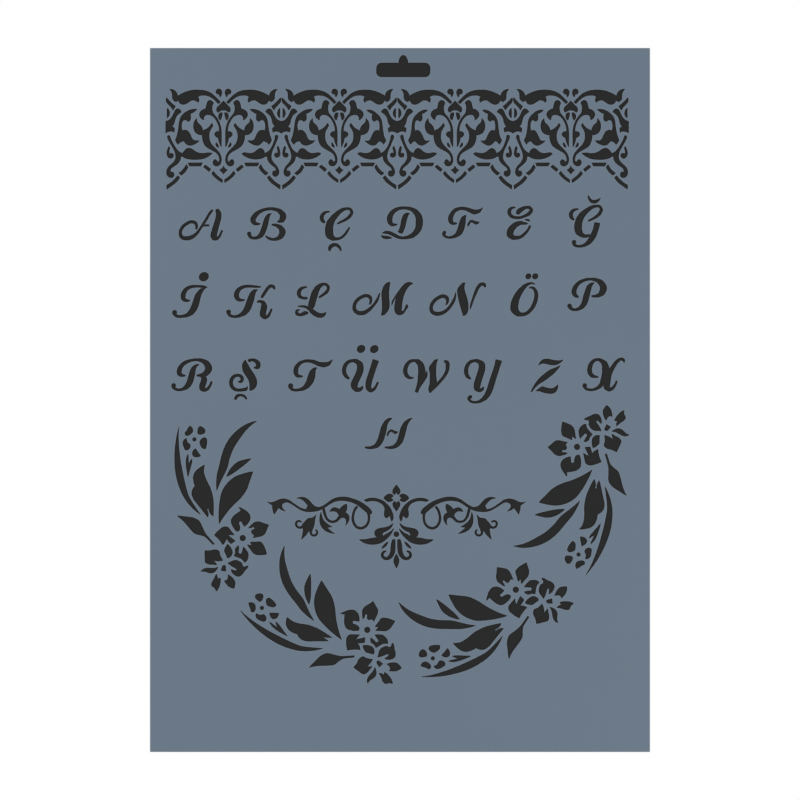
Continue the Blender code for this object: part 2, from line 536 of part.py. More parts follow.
            (14.5, 0.4, CORNER), (15.8, 0.6), (17.4, 2.0), (18.4, 3.6), (18.7, 6.5), (18.4, 10.5),
            (18.6, 14.0)
        )),
        Outline((
            (30.6, 16.3, CORNER), (29.2, 17.1), (27.2, 16.8), (25.1, 15.1), (22.9, 12.2), (20.8, 9.0),
            (19.8, 7.0), (19.8, 5.2, CORNER), (20.7, 7.3), (22.0, 9.9, CORNER), (21.4, 6.5), (21.2, 3.2),
            (22.1, 1.2), (23.8, 0.6), (25.5, 1.2), (26.9, 3.0), (27.8, 5.6), (27.3, 6.0), (26.8, 5.4),
            (26.2, 3.8), (25.2, 2.7), (24.9, 4.5), (25.2, 7.5), (26.1, 11.0), (27.7, 14.0), (29.0, 15.5)
        )),
    ),
    "N": (
        Stroke((
            (8.6, 6.0, 0.8), (9.2, 7.5, 1.3), (8.8, 9.3, 1.7), (7.0, 10.1, 1.7), (4.6, 9.3, 1.6),
            (2.2, 7.3, 1.6), (1.0, 4.7, 1.6), (1.5, 2.3, 1.8), (3.4, 1.3, 1.9), (5.9, 1.5, 1.8),
            (8.6, 2.9, 1.5), (10.6, 5.1, 1.4), (12.2, 7.7, 1.4), (13.0, 9.8, 0.9), (13.2, 11.7, 0.4)
        )),
        Outline((
            (18.2, 16.8, CORNER), (17.0, 16.8), (15.6, 15.6), (14.2, 13.6), (14.3, 10.5), (15.0, 7.0),
            (16.0, 3.5), (17.0, 0.2, CORNER), (18.2, 0.6), (19.2, 2.0), (19.6, 5.5), (19.0, 9.0),
            (17.9, 12.5), (17.6, 15.0)
        )),
        Stroke((
            (20.6, 3.9, 0.5), (21.1, 6.0, 1.0), (22.0, 8.7, 1.1), (23.3, 12.0, 1.4), (24.6, 14.7, 1.6),
            (26.2, 16.1, 1.6), (27.6, 15.8, 1.6), (27.9, 15.0, 1.0)
        )),
    ),
    "Ö": (
        Dot(9.1, 20.0, 1.5, 1.35, 40.0),
        Dot(12.5, 20.0, 1.55, 1.4, 40.0),
        Stroke((
            (12.2, 16.1, 0.5), (10.6, 16.6, 0.9), (8.7, 16.0, 1.4), (6.7, 14.5, 2.1), (4.9, 12.3, 2.8),
            (3.3, 9.6, 3.3), (2.3, 6.5, 3.7), (2.2, 3.5, 3.9), (3.6, 1.6, 2.9), (5.8, 0.9, 1.8),
            (8.2, 1.5, 1.6), (10.2, 3.2, 1.7), (11.9, 5.8, 1.9), (12.9, 8.9, 1.9), (13.0, 11.5, 1.8),
            (12.3, 13.4, 1.5), (11.1, 14.3, 1.2), (9.8, 14.3, 0.7)
        )),
    ),
    "P": (
        Stroke((
            (5.2, 9.9, 1.2), (4.1, 10.5, 1.9), (3.4, 12.0, 2.4), (3.9, 14.2, 2.2), (5.5, 16.4, 1.8),
            (8.0, 17.9, 1.5), (11.2, 18.6, 1.2), (14.4, 18.2, 1.7), (16.9, 16.7, 2.8), (18.1, 14.3, 3.4),
            (17.4, 11.9, 3.0), (15.7, 10.5, 1.9), (14.0, 10.1, 1.3), (12.6, 10.1, 1.0)
        )),
        Stroke((
            (13.2, 16.7, 0.6), (12.0, 15.9, 1.7), (11.0, 14.6, 2.5), (10.2, 12.2, 2.8), (9.5, 9.8, 3.0),
            (8.8, 7.2, 2.8), (7.6, 5.1, 2.4), (5.8, 3.8, 1.6), (3.9, 3.3, 1.3), (2.1, 3.8, 1.5),
            (1.2, 5.2, 2.2)
        )),
    ),
    "R": (
        Stroke((
            (6.8, 7.9, 0.9), (5.4, 8.0, 1.6), (4.2, 8.9, 2.3), (4.2, 10.6, 2.4), (5.3, 12.8, 2.0),
            (7.4, 14.5, 1.7), (10.2, 15.5, 1.3), (13.0, 15.8, 1.3), (15.8, 15.2, 2.0), (18.0, 13.6, 3.0),
            (18.8, 11.4, 3.5), (17.6, 9.2, 2.9), (15.8, 8.2, 2.0), (14.4, 8.0, 1.4), (13.3, 7.9, 1.0)
        )),
        Stroke((
            (15.3, 7.8, 1.8), (16.5, 6.4, 2.8), (16.3, 4.6, 3.0), (15.7, 2.9, 3.0), (15.7, 1.6, 3.0),
            (16.6, 0.8, 2.0), (18.0, 1.0, 1.5), (19.2, 2.4, 1.2), (20.2, 4.5, 1.1)
        )),
        Stroke((
            (13.7, 13.3, 0.6), (12.3, 12.6, 1.5), (11.3, 11.3, 2.3), (10.7, 9.4, 2.9), (10.1, 7.0, 3.0),
            (9.2, 4.3, 3.0), (7.8, 2.3, 2.4), (5.9, 1.1, 1.5), (3.9, 0.7, 1.2), (2.3, 1.1, 1.3),
            (1.3, 2.1, 1.7), (1.3, 2.9, 2.2)
        )),
    ),
    "Ş": (
        Outline((
            (8.3, 15.8, CORNER), (6.8, 14.0), (6.6, 11.9), (7.2, 9.6), (8.6, 7.5), (9.9, 5.2), (10.3, 2.7),
            (10.2, 0.3, CORNER), (12.4, 1.0), (13.8, 3.0), (13.9, 5.5), (12.9, 8.0), (11.2, 10.6),
            (9.6, 13.2)
        )),
        Stroke((
            (10.2, 15.4, 1.5), (11.6, 15.7, 1.3), (13.3, 15.2, 1.8), (14.5, 13.8, 2.3), (14.4, 12.3, 2.2),
            (13.3, 11.8, 1.3), (12.8, 11.9, 0.8)
        )),
        Stroke((
            (4.9, 4.8, 0.8), (6.0, 4.9, 1.4), (6.6, 6.2, 1.6), (5.8, 7.6, 1.5), (4.2, 8.0, 1.4),
            (2.3, 7.3, 1.6), (1.1, 5.3, 1.8), (1.2, 3.0, 1.8), (2.6, 1.2, 1.6), (4.8, 0.6, 1.4),
            (7.0, 0.8, 1.5), (8.4, 1.1, 1.6), (9.2, 2.2, 0.5)
        )),
        Stroke(((3.3, -3.6, 1.3), (4.2, -2.3, 1.5), (5.8, -1.9, 1.2), (7.4, -2.3, 1.2), (8.6, -3.6, 0.9))),
    ),
    "T": (
        Stroke((
            (7.0, 7.5, 0.8), (5.9, 7.5, 1.2), (4.5, 8.0, 1.8), (3.9, 9.6, 2.3), (4.1, 11.6, 2.2),
            (5.4, 13.6, 1.8), (7.6, 14.9, 1.4), (10.5, 15.2, 1.5), (13.2, 14.6, 1.9), (15.6, 13.6, 2.2),
            (18.0, 13.3, 2.5), (20.2, 13.8, 1.9), (21.4, 14.9, 0.9), (22.3, 15.9, 0.15)
        )),
        Stroke((
            (14.2, 11.7, 0.6), (13.2, 11.0, 1.7), (12.4, 9.7, 2.9), (11.8, 7.6, 3.6), (11.0, 5.2, 3.5),
            (9.6, 3.0, 2.8), (7.6, 1.4, 1.9), (5.4, 0.75, 1.3), (3.3, 0.6, 1.2), (1.7, 1.3, 1.5),
            (1.3, 2.7, 2.5)
        )),
    ),
    "Ü": (
        Dot(9.5, 21.2, 2.15, 1.85, 35.0),
        Dot(16.1, 21.1, 2.15, 1.85, 35.0),
        Stroke((
            (3.2, 6.6, 1.2), (2.0, 7.6, 1.8), (1.0, 10.0, 2.0), (1.5, 12.7, 1.9), (3.0, 14.6, 1.6),
            (5.2, 15.3, 1.5), (7.4, 14.9, 2.2), (8.9, 13.3, 3.1), (9.1, 11.1, 3.3), (8.2, 8.2, 3.3),
            (6.9, 5.5, 3.3), (6.1, 2.9, 3.4), (6.9, 1.2, 2.6), (8.5, 0.8, 2.0), (9.9, 1.7, 1.4),
            (10.3, 2.5, 0.6)
        )),
        Stroke((
            (16.9, 15.6, 3.2, FLAT), (15.7, 12.0, 2.9), (14.4, 8.0, 2.9), (13.3, 4.0, 3.0),
            (13.3, 1.6, 2.6), (14.4, 0.5, 2.0), (15.7, 0.9, 1.5), (16.9, 2.4, 1.1), (17.8, 4.3, 0.9)
        )),
    ),
    "W": (
        Stroke((
            (5.0, 6.8, 0.6), (3.6, 6.7, 1.2), (1.9, 7.8, 1.9), (1.1, 10.0, 2.1), (1.6, 12.6, 1.9),
            (3.2, 14.7, 1.6), (5.6, 15.4, 1.3), (7.6, 14.9, 1.7)
        )),
        Outline((
            (6.6, 15.9), (8.8, 15.3), (10.3, 13.6), (11.0, 11.2), (11.3, 8.9, CORNER),
            (11.9, 10.4, CORNER), (12.2, 7.9), (11.0, 5.5), (9.4, 3.2), (8.0, 1.0), (7.0, -0.7),
            (6.2, -0.3), (6.5, 1.6), (7.1, 4.0), (7.5, 7.5), (7.6, 11.0), (7.2, 13.2), (6.2, 14.6)
        )),
        Outline((
            (17.5, 16.0, CORNER), (16.0, 15.8), (14.4, 14.0), (13.1, 12.2), (13.4, 8.5), (13.3, 4.0),
            (12.9, 0.0), (13.5, -0.8), (14.3, -0.2), (16.6, 2.4, CORNER), (17.0, 4.4, CORNER), (16.6, 7.0),
            (16.5, 10.5), (16.8, 14.0)
        )),
        Stroke((
            (14.6, 0.9, 1.2), (16.5, 2.9, 1.5), (18.5, 5.0, 1.4), (20.4, 7.3, 1.4), (21.9, 10.0, 1.6),
            (22.3, 12.4, 1.9), (21.9, 14.5, 1.9), (21.0, 15.0, 1.2)
        )),
    ),
    "Y": (
        Stroke((
            (2.9, 6.5, 1.1), (1.7, 7.6, 1.8), (1.0, 9.8, 2.0), (1.4, 12.3, 1.9), (2.8, 14.4, 1.6),
            (5.0, 15.3, 1.4), (7.3, 14.9, 2.0), (8.8, 13.4, 3.1), (8.9, 11.2, 3.3), (8.2, 8.8, 3.3),
            (7.3, 6.0, 3.3), (6.6, 3.3, 3.4), (6.6, 1.5, 3.1), (7.6, 0.6, 2.0), (8.9, 0.9, 1.5),
            (9.6, 1.9, 0.8)
        )),
        Stroke((
            (17.4, 15.6, 3.2, FLAT), (16.4, 12.0, 2.8), (15.1, 8.0, 2.9), (13.8, 4.0, 3.0),
            (12.5, 0.0, 2.9), (10.8, -2.8, 2.4), (8.7, -4.6, 1.7), (6.5, -5.4, 1.2), (4.5, -5.4, 1.1),
            (2.8, -4.5, 1.2), (2.4, -3.2, 1.3), (3.2, -2.8, 1.7)
        )),
    ),
    "Z": (
        Outline((
            (4.0, 12.8, CORNER), (4.9, 14.5), (6.4, 15.9), (9.0, 16.2), (12.0, 15.6), (14.6, 15.4),
            (16.6, 15.9, CORNER), (15.2, 14.3), (13.2, 13.3), (11.0, 13.1), (8.4, 13.6), (6.2, 13.9)
        )),
        Outline((
            (15.3, 13.1, CORNER), (13.2, 12.1), (10.6, 11.1), (7.4, 9.0), (4.0, 5.9), (2.0, 3.1),
            (0.2, -0.4, CORNER), (1.1, -0.1, CORNER), (3.6, 2.9), (7.2, 5.3), (11.0, 8.1), (13.6, 10.7)
        )),
        Outline((
            (2.7, 0.1, CORNER), (4.6, 1.6), (6.0, 2.4), (8.3, 1.8), (11.4, 1.6), (12.9, 2.5),
            (13.9, 3.5, CORNER), (13.8, 1.5), (12.9, -0.2), (11.2, -1.1), (8.8, -1.1), (6.3, -0.5),
            (4.4, 0.1)
        )),
    ),
    "X": (
        Stroke((
            (7.7, 7.2, 0.8), (6.6, 7.3, 1.2), (4.8, 8.0, 2.0), (3.8, 9.9, 2.3), (4.0, 12.4, 2.2),
            (5.4, 14.9, 1.7), (7.6, 15.9, 1.3), (9.6, 15.3, 1.9), (11.2, 13.7, 3.0), (11.8, 11.2, 3.6),
            (11.5, 8.5, 3.2), (10.6, 5.5, 2.8), (9.5, 3.2, 2.0), (7.6, 1.6, 1.5), (5.4, 0.8, 1.2),
            (3.4, 0.8, 1.2), (1.7, 1.6, 1.4), (1.3, 2.9, 2.2)
        )),
        Stroke((
            (21.0, 14.9, 0.9), (20.6, 15.8, 1.4), (19.3, 16.1, 1.4), (17.5, 14.9, 1.7), (15.8, 12.7, 1.9),
            (14.2, 10.0, 2.3), (13.0, 7.0, 3.0), (12.5, 4.4, 3.3), (12.4, 2.2, 3.2), (13.3, 1.1, 2.2),
            (14.8, 1.3, 1.6), (16.1, 2.6, 1.2), (17.2, 4.9, 0.9)
        )),
    ),
    "H": (
        Stroke((
            (13.7, 15.3, 0.6), (12.2, 14.6, 1.5), (10.9, 13.1, 2.2), (9.8, 10.2, 3.0), (9.0, 7.0, 3.0),
            (8.0, 4.2, 2.9), (6.4, 1.9, 2.4), (4.4, 0.9, 1.6), (2.4, 0.6, 1.2), (0.7, 0.8, 0.8)
        )),
        Stroke((
            (24.0, 15.4, 0.3), (22.3, 14.4, 1.4), (20.7, 12.5, 2.3), (19.6, 9.8, 3.0), (18.8, 6.8, 3.0),
            (17.9, 4.1, 2.8), (16.2, 1.9, 2.2), (14.3, 0.9, 1.6), (12.4, 0.7, 1.2), (10.7, 0.8, 0.8)
        )),
        Stroke((
            (11.7, 6.8, 0.7), (12.2, 8.2, 1.0), (13.4, 9.2, 1.1), (14.7, 8.7, 1.2), (15.7, 8.2, 1.4),
            (16.5, 8.5, 0.7)
        )),
    ),
}

# Rows of letters, with each letter's start along its row in drawing units
ROWS = (
    (("A", 0.0), ("B", 34.5), ("Ç", 70.5), ("D", 101.5), ("F", 132.0),
     ("E", 164.0), ("Ğ", 195.0)),
    (("İ", 0.0), ("K", 27.0), ("L", 61.5), ("M", 90.0), ("N", 128.5),
     ("Ö", 169.0), ("P", 197.5)),
    (("R", 0.0), ("Ş", 29.0), ("T", 58.5), ("Ü", 85.5), ("W", 116.0),
     ("Y", 146.5), ("Z", 179.5), ("X", 205.5)),
)
LAST_LETTER = "H"

# One flower spray of the wreath, in its place about the wreath's centre
SPRAY = (
    Outline((
        (-80.1, -77.3, CORNER), (-77.0, -81.4), (-73.3, -85.4), (-68.2, -89.8), (-62.7, -93.5),
        (-56.8, -96.2), (-51.2, -97.7), (-45.5, -98.0), (-38.4, -96.6, CORNER), (-44.0, -96.2),
        (-49.8, -95.4), (-55.4, -93.1), (-61.5, -90.1), (-67.2, -87.0), (-72.1, -83.9), (-76.6, -80.6)
    )),
    Outline((
        (-57.7, -45.3, CORNER), (-59.4, -49.0), (-60.3, -54.4), (-60.0, -59.2), (-58.6, -64.2),
        (-56.1, -68.8), (-52.6, -73.4), (-48.8, -78.2), (-42.8, -83.0, CORNER), (-45.4, -78.4),
        (-46.8, -75.3), (-48.4, -72.0), (-51.6, -67.8), (-54.3, -63.2), (-56.1, -58.0), (-57.6, -52.2),
        (-57.9, -48.4)
    )),
    Outline((
        (-44.8, -59.2, CORNER), (-46.5, -62.3), (-47.7, -65.6), (-47.7, -68.9), (-46.8, -72.2),
        (-45.4, -74.8, CORNER), (-44.7, -71.2), (-44.5, -67.0), (-44.5, -63.0)
    )),
    Outline((
        (-39.2, -62.6, CORNER), (-41.4, -67.0), (-42.8, -71.6), (-42.7, -76.2), (-41.2, -80.8),
        (-37.6, -85.3), (-33.4, -89.2), (-29.1, -92.4, CORNER), (-30.9, -87.0), (-32.0, -81.8),
        (-32.6, -76.0), (-34.0, -71.0), (-36.7, -66.6)
    )),
    Outline((
        (-56.4, -81.0, CORNER), (-57.0, -84.4), (-56.1, -86.8), (-54.3, -88.4), (-51.3, -89.6, CORNER),
        (-50.2, -91.5), (-47.9, -92.8), (-45.4, -93.1, CORNER), (-35.6, -93.0, CORNER), (-37.1, -92.0),
        (-38.6, -91.1, CORNER), (-33.8, -91.4, CORNER), (-36.9, -89.2), (-41.6, -86.5), (-46.0, -84.9),
        (-50.4, -84.2), (-53.6, -83.1)
    )),
    Outline((
        (-65.4, -83.3, CORNER), (-64.2, -85.4), (-62.2, -87.2), (-59.2, -89.1), (-56.1, -90.7, CORNER),
        (-57.9, -88.3), (-59.6, -86.0), (-61.0, -84.2), (-62.3, -83.2, CORNER), (-61.9, -84.6),
        (-61.4, -86.1, CORNER), (-62.8, -85.1), (-64.0, -84.1)
    )),
    Outline((
        (-22.8, -100.4, CORNER), (-30.0, -100.5), (-33.0, -99.8), (-36.6, -99.1), (-39.2, -100.1),
        (-42.4, -103.0), (-45.7, -106.3, CORNER), (-42.1, -105.5), (-36.0, -105.2), (-32.9, -104.8),
        (-30.6, -103.1), (-28.4, -101.6), (-22.9, -101.2, CORNER)
    )),
    Outline((
        (-72.4, -71.2), (-72.3, -70.0), (-71.2, -69.4), (-69.3, -69.3), (-68.4, -70.1), (-68.5, -71.5),
        (-69.2, -72.8), (-70.0, -73.3), (-71.3, -72.5)
    )),
    Outline((
        (-65.7, -71.4), (-64.0, -72.3), (-62.6, -73.8), (-61.9, -75.1), (-62.6, -75.8), (-65.0, -75.8),
        (-66.5, -75.0), (-67.0, -73.2), (-66.7, -71.9)
    )),
    Outline((
        (-65.2, -78.8, CORNER), (-60.5, -79.0, CORNER), (-60.9, -80.4), (-62.0, -81.7), (-63.4, -82.0),
        (-64.6, -81.1), (-65.1, -80.0)
    )),
    Outline((
        (-71.8, -79.1, CORNER), (-70.3, -79.9), (-67.9, -79.8), (-67.0, -80.8), (-66.9, -82.2),
        (-67.6, -83.2), (-69.4, -82.9), (-71.4, -81.9), (-72.1, -80.8)
    )),
    Outline((
        (-75.8, -73.9, CORNER), (-74.0, -73.7), (-72.7, -74.4), (-72.2, -75.9), (-72.4, -77.5),
        (-73.2, -78.5), (-74.4, -78.3), (-74.8, -76.8), (-75.5, -75.2)
    )),
    Outline((
        (-13.4, -73.0, CORNER), (-15.5, -74.5), (-17.6, -75.8), (-18.8, -77.4), (-18.9, -79.4),
        (-18.5, -82.3, CORNER), (-17.7, -81.0), (-16.9, -79.6), (-16.4, -79.9), (-16.6, -81.3),
        (-15.3, -82.4), (-14.4, -82.1), (-13.3, -83.6, CORNER), (-12.4, -81.8), (-11.3, -79.6),
        (-11.0, -77.8), (-12.1, -75.4)
    )),
    Outline((
        (-2.4, -83.0, CORNER), (-4.6, -82.1), (-7.2, -81.4), (-9.2, -81.5), (-10.7, -83.3),
        (-12.5, -85.8, CORNER), (-10.7, -86.1, CORNER), (-12.5, -87.8, CORNER), (-9.8, -87.9),
        (-6.9, -87.9), (-5.2, -87.0), (-3.8, -85.2)
    )),
    Outline((
        (-12.8, -89.8, CORNER), (-10.6, -89.7), (-8.6, -90.0), (-7.1, -91.2), (-6.1, -93.0),
        (-6.2, -94.4, CORNER), (-8.4, -94.4), (-10.2, -95.3), (-12.1, -96.4, CORNER), (-13.0, -94.8),
        (-14.4, -93.8), (-14.8, -92.6), (-14.6, -91.2, CORNER), (-13.2, -92.3), (-11.3, -93.5),
        (-10.8, -93.0), (-11.5, -91.6)
    )),
    Outline((
        (-19.9, -89.8, CORNER), (-23.0, -89.7), (-25.5, -89.9), (-26.6, -91.2), (-26.9, -93.8),
        (-26.3, -97.7, CORNER), (-23.2, -97.2), (-19.8, -97.4, CORNER), (-20.2, -95.6),
        (-21.1, -94.1, CORNER), (-17.7, -93.9, CORNER), (-17.4, -91.1, CORNER), (-22.0, -92.2, CORNER),
        (-21.2, -91.0)
    )),
    Outline((
        (-29.8, -79.2, CORNER), (-27.4, -78.1), (-25.2, -77.4), (-22.9, -77.5), (-21.2, -78.9),
        (-20.4, -81.0), (-20.4, -83.3, CORNER), (-22.1, -83.0), (-23.6, -83.1), (-23.6, -84.0),
        (-22.2, -84.7), (-20.8, -85.6), (-20.3, -86.8), (-20.6, -87.7, CORNER), (-24.2, -87.7),
        (-26.9, -86.5), (-27.8, -84.3), (-27.8, -81.6), (-27.7, -79.5, CORNER), (-29.0, -79.5)
    )),
    Outline((
        (-11.6, -103.2), (-10.9, -102.7), (-9.9, -103.3), (-8.4, -104.4, CORNER), (-9.4, -105.1),
        (-10.1, -106.1, CORNER), (-11.2, -104.9), (-11.7, -103.9)
    )),
    Outline((
        (-18.7, -95.1, CORNER), (-15.4, -95.2), (-13.7, -96.0), (-12.9, -97.4), (-13.2, -99.7, CORNER),
        (-15.3, -99.1), (-17.2, -98.5), (-18.0, -97.3)
    )),
    Outline((
        (-3.8, -94.0), (-3.1, -94.9), (-2.8, -96.8), (-2.2, -99.4), (-2.6, -101.1), (-4.0, -102.0),
        (-7.9, -101.7, CORNER), (-5.7, -100.0, CORNER), (-8.2, -100.9), (-11.4, -101.1, CORNER),
        (-10.8, -99.6), (-10.5, -98.1), (-9.6, -96.7), (-8.2, -95.9), (-6.6, -95.5), (-5.2, -96.0),
        (-4.4, -95.4), (-4.2, -94.5)
    )),
    Outline((
        (-18.8, -100.7), (-16.6, -101.6), (-13.6, -102.0, CORNER), (-14.6, -103.8),
        (-16.5, -105.7, CORNER), (-13.7, -105.7, CORNER), (-15.2, -107.3), (-16.7, -109.0),
        (-18.4, -109.6), (-20.2, -108.5), (-23.3, -106.1, CORNER), (-21.6, -104.1), (-20.4, -101.8)
    )),
    Outline((
        (-6.8, -104.5, CORNER), (-5.1, -103.9), (-2.9, -103.7), (-1.4, -104.0), (-0.2, -105.1),
        (0.8, -106.4, CORNER), (-0.4, -107.4), (-1.9, -108.0), (-3.8, -108.1), (-5.6, -107.9, CORNER),
        (-4.9, -106.9), (-5.4, -105.6)
    )),
    Outline((
        (-10.6, -108.9, CORNER), (-9.2, -109.2), (-8.1, -109.8, CORNER), (-7.7, -108.4, CORNER),
        (-6.3, -109.5), (-4.9, -111.1), (-3.9, -113.0), (-3.6, -114.4, CORNER), (-5.4, -114.0),
        (-7.6, -114.3), (-8.6, -113.2), (-9.4, -111.2)
    )),
    Outline((
        (-12.6, -105.9, CORNER), (-12.0, -107.4), (-11.8, -109.3), (-12.5, -110.9), (-14.1, -112.1),
        (-15.2, -112.9), (-16.1, -114.4, CORNER), (-16.5, -112.7), (-15.9, -110.9), (-14.6, -109.3),
        (-13.3, -107.7)
    )),
    Dot(-69.05, -76.4, 1.0, 1.0, 0.0),
    Dot(-16.35, -87.4, 1.5, 1.5, 0.0),
)

# Each spray's turn about the wreath's centre in degrees, and its shift after that
SPRAY_PLACES = ((-51.6, 0.0), (0.0, 0.0), (51.4, complex(-0.2, 0.0)), (102.6, complex(-0.35, 1.0)))

# Ornament inside the wreath, its left half and the pieces on its axis
ORNAMENT_DRAWN_PLACE = complex(-1.8, -35.95)
ORNAMENT_HALF = (
    Outline((
        (-64.9, 13.0, CORNER), (-63.1, 12.3), (-61.0, 12.7), (-58.6, 13.8), (-56.4, 14.2),
        (-54.4, 13.7, CORNER), (-54.0, 12.3, CORNER), (-55.6, 12.2), (-56.9, 11.5), (-57.2, 10.3),
        (-56.5, 9.0), (-55.1, 7.8, CORNER), (-57.2, 8.4), (-58.8, 9.5, CORNER), (-59.8, 8.2),
        (-61.1, 6.2, CORNER), (-61.8, 8.3), (-62.1, 10.8, CORNER), (-63.6, 11.8)
    )),
    Stroke((
        (-56.4, 13.3, 1.6), (-54.2, 13.0, 1.4), (-52.1, 11.8, 1.0), (-49.9, 10.3, 0.9), (-47.7, 9.0, 1.0),
        (-45.4, 8.3, 1.2), (-42.8, 8.4, 1.7), (-40.3, 8.8, 1.9), (-38.0, 9.3, 1.5), (-36.0, 10.3, 1.3),
        (-34.0, 11.7, 1.3), (-31.6, 13.2, 1.6), (-28.8, 14.0, 1.9), (-25.8, 14.1, 2.0), (-22.5, 13.4, 2.0),
        (-19.5, 12.2, 2.2), (-16.6, 10.3, 2.6), (-14.3, 8.4, 2.7), (-13.3, 7.4, 2.2)
    )),
    Outline((
        (-50.1, 14.3, CORNER), (-48.4, 14.9), (-46.3, 14.9), (-44.2, 13.9), (-42.4, 12.0), (-41.0, 10.6),
        (-38.8, 10.0, CORNER), (-39.4, 8.8, CORNER), (-42.0, 8.3), (-45.2, 8.5, CORNER), (-44.9, 9.6),
        (-44.3, 10.7, CORNER), (-45.3, 11.9), (-46.6, 13.2), (-48.2, 14.1)
    )),
    Stroke((
        (-36.5, 9.4, 1.2), (-36.1, 7.6, 1.3), (-35.5, 5.6, 1.2), (-34.6, 3.9, 1.1), (-33.3, 2.9, 1.1),
        (-31.7, 2.6, 1.1), (-30.1, 3.1, 1.2), (-28.7, 4.6, 1.4)
    )),
    Outline((
        (-33.4, 7.5, CORNER), (-32.6, 9.0), (-31.1, 9.8), (-29.6, 9.5), (-28.4, 8.9, CORNER),
        (-27.4, 10.2), (-24.9, 11.6, CORNER), (-24.6, 10.0), (-25.5, 7.3, CORNER), (-24.2, 6.4),
        (-23.5, 4.4), (-24.1, 2.4), (-25.6, 0.6, CORNER), (-25.1, 2.6), (-25.6, 4.2), (-26.8, 4.7),
        (-28.2, 4.1), (-29.4, 3.2, CORNER), (-28.9, 4.6), (-29.0, 6.2), (-30.2, 7.6), (-31.8, 7.9)
    )),
    Stroke((
        (-19.9, 9.9, 1.2), (-20.9, 8.4, 1.1), (-21.6, 6.2, 1.1), (-21.8, 3.9, 1.2), (-21.0, 1.4, 1.2),
        (-19.5, -0.2, 1.2), (-17.6, -0.6, 1.2), (-15.6, 0.2, 1.2), (-14.2, 2.0, 1.1), (-13.7, 4.3, 1.1),
        (-13.9, 6.5, 1.2), (-14.6, 8.2, 1.6)
    )),
    Outline((
        (-37.6, 7.8, CORNER), (-38.3, 5.5), (-38.4, 3.0), (-37.7, 0.5), (-36.2, -1.4), (-33.6, -2.8),
        (-30.5, -3.4, CORNER), (-32.4, -2.2), (-34.5, -0.3, CORNER), (-31.9, 0.1, CORNER), (-34.2, 1.4),
        (-36.2, 3.2), (-37.2, 5.4)
    )),
    Outline((
        (-40.0, 6.6, CORNER), (-41.9, 4.7), (-44.2, 4.3), (-45.8, 2.7), (-47.2, 0.8),
        (-46.6, -1.2, CORNER), (-46.9, -3.4), (-47.6, -6.3, CORNER), (-45.3, -4.2), (-43.8, -2.1, CORNER),
        (-42.6, -1.9), (-41.6, -0.6), (-40.9, 1.6), (-40.6, 4.2)
    )),
    Stroke((
        (-46.0, 0.9, 1.6), (-47.2, 0.0, 1.2), (-48.7, -0.3, 1.0), (-50.0, 0.8, 1.0), (-50.0, 2.3, 1.0),
        (-48.9, 3.0, 0.9), (-47.6, 2.5, 0.6)
    )),
    Stroke((
        (-42.6, -1.5, 1.4), (-42.8, -3.0, 1.0), (-41.6, -4.2, 1.0), (-40.1, -3.8, 1.0), (-39.6, -2.6, 0.9),
        (-40.2, -1.5, 0.7)
    )),
    Outline((
        (-16.3, 13.4, CORNER), (-14.6, 14.2), (-12.2, 14.6), (-9.8, 14.3), (-7.4, 13.5), (-5.2, 12.0),
        (-3.3, 9.9), (-2.0, 7.3), (-1.5, 4.6), (-2.4, 2.6, CORNER), (-2.9, 4.0), (-3.2, 5.6, CORNER),
        (-4.1, 5.0), (-5.0, 4.4), (-5.9, 5.2), (-6.1, 7.2), (-5.9, 9.3), (-6.8, 11.0), (-8.8, 12.4),
        (-11.2, 13.0), (-13.4, 12.9), (-15.0, 12.6, CORNER)
    )),
    Outline((
        (-1.5, 2.3, CORNER), (-3.0, 0.9), (-5.0, 0.0), (-7.4, -0.4), (-9.4, -0.9), (-10.9, -2.3),
        (-10.8, -3.9), (-9.8, -5.2, CORNER), (-12.4, -5.5), (-15.2, -6.1), (-18.7, -6.1, CORNER),
        (-17.0, -7.5), (-14.6, -8.5), (-11.8, -8.8), (-9.0, -8.4), (-6.6, -7.4), (-4.3, -5.4),
        (-2.3, -3.0), (-1.2, -0.4, CORNER), (-3.3, -2.4), (-5.3, -3.5), (-6.9, -3.9), (-6.7, -3.1),
        (-4.9, -2.1), (-2.8, -0.5)
    )),
    Outline((
        (-4.0, -7.2, CORNER), (-5.6, -8.2), (-6.8, -9.5), (-7.6, -10.8, CORNER), (-6.3, -10.4),
        (-4.9, -9.2)
    )),
    Stroke((
        (-1.3, -6.9, 1.7), (-1.6, -8.6, 2.2), (-1.7, -10.6, 2.4), (-2.0, -12.8, 2.3), (-3.0, -14.7, 2.0),
        (-4.8, -15.8, 1.5), (-6.5, -15.2, 1.4), (-7.1, -13.8, 1.3), (-6.5, -12.6, 1.1), (-5.5, -12.2, 0.8)
    )),
    Outline((
        (-6.4, 14.5, CORNER), (-5.2, 15.9), (-3.6, 16.6), (-2.2, 16.3), (-1.4, 15.4, CORNER),
        (-2.6, 14.5, CORNER), (-1.5, 13.6, CORNER), (-2.5, 12.8), (-4.0, 12.6), (-5.4, 13.4)
    )),
)
ORNAMENT_AXIS = (
    HalfOutline(((0.0, -13.4, CORNER), (1.0, -15.2), (1.4, -16.8), (0.9, -18.8), (0.0, -20.7, CORNER))),
    HalfOutline((
        (0.0, 21.2, CORNER), (0.9, 20.0), (1.9, 18.4), (1.8, 17.0), (0.7, 16.1, CORNER),
        (0.0, 17.2, CORNER)
    )),
    HalfOutline((
        (0.0, 12.0, CORNER), (0.7, 13.0, CORNER), (1.8, 12.0), (1.7, 10.4), (0.8, 9.0), (0.0, 7.8, CORNER)
    )),
    Dot(0.0, -3.6, 1.35, 1.35, 0.0),
)


def signed_area(polygon):
    return sum((a.conjugate() * b).imag for a, b in zip(polygon, polygon[1:] + polygon[:1])) / 2


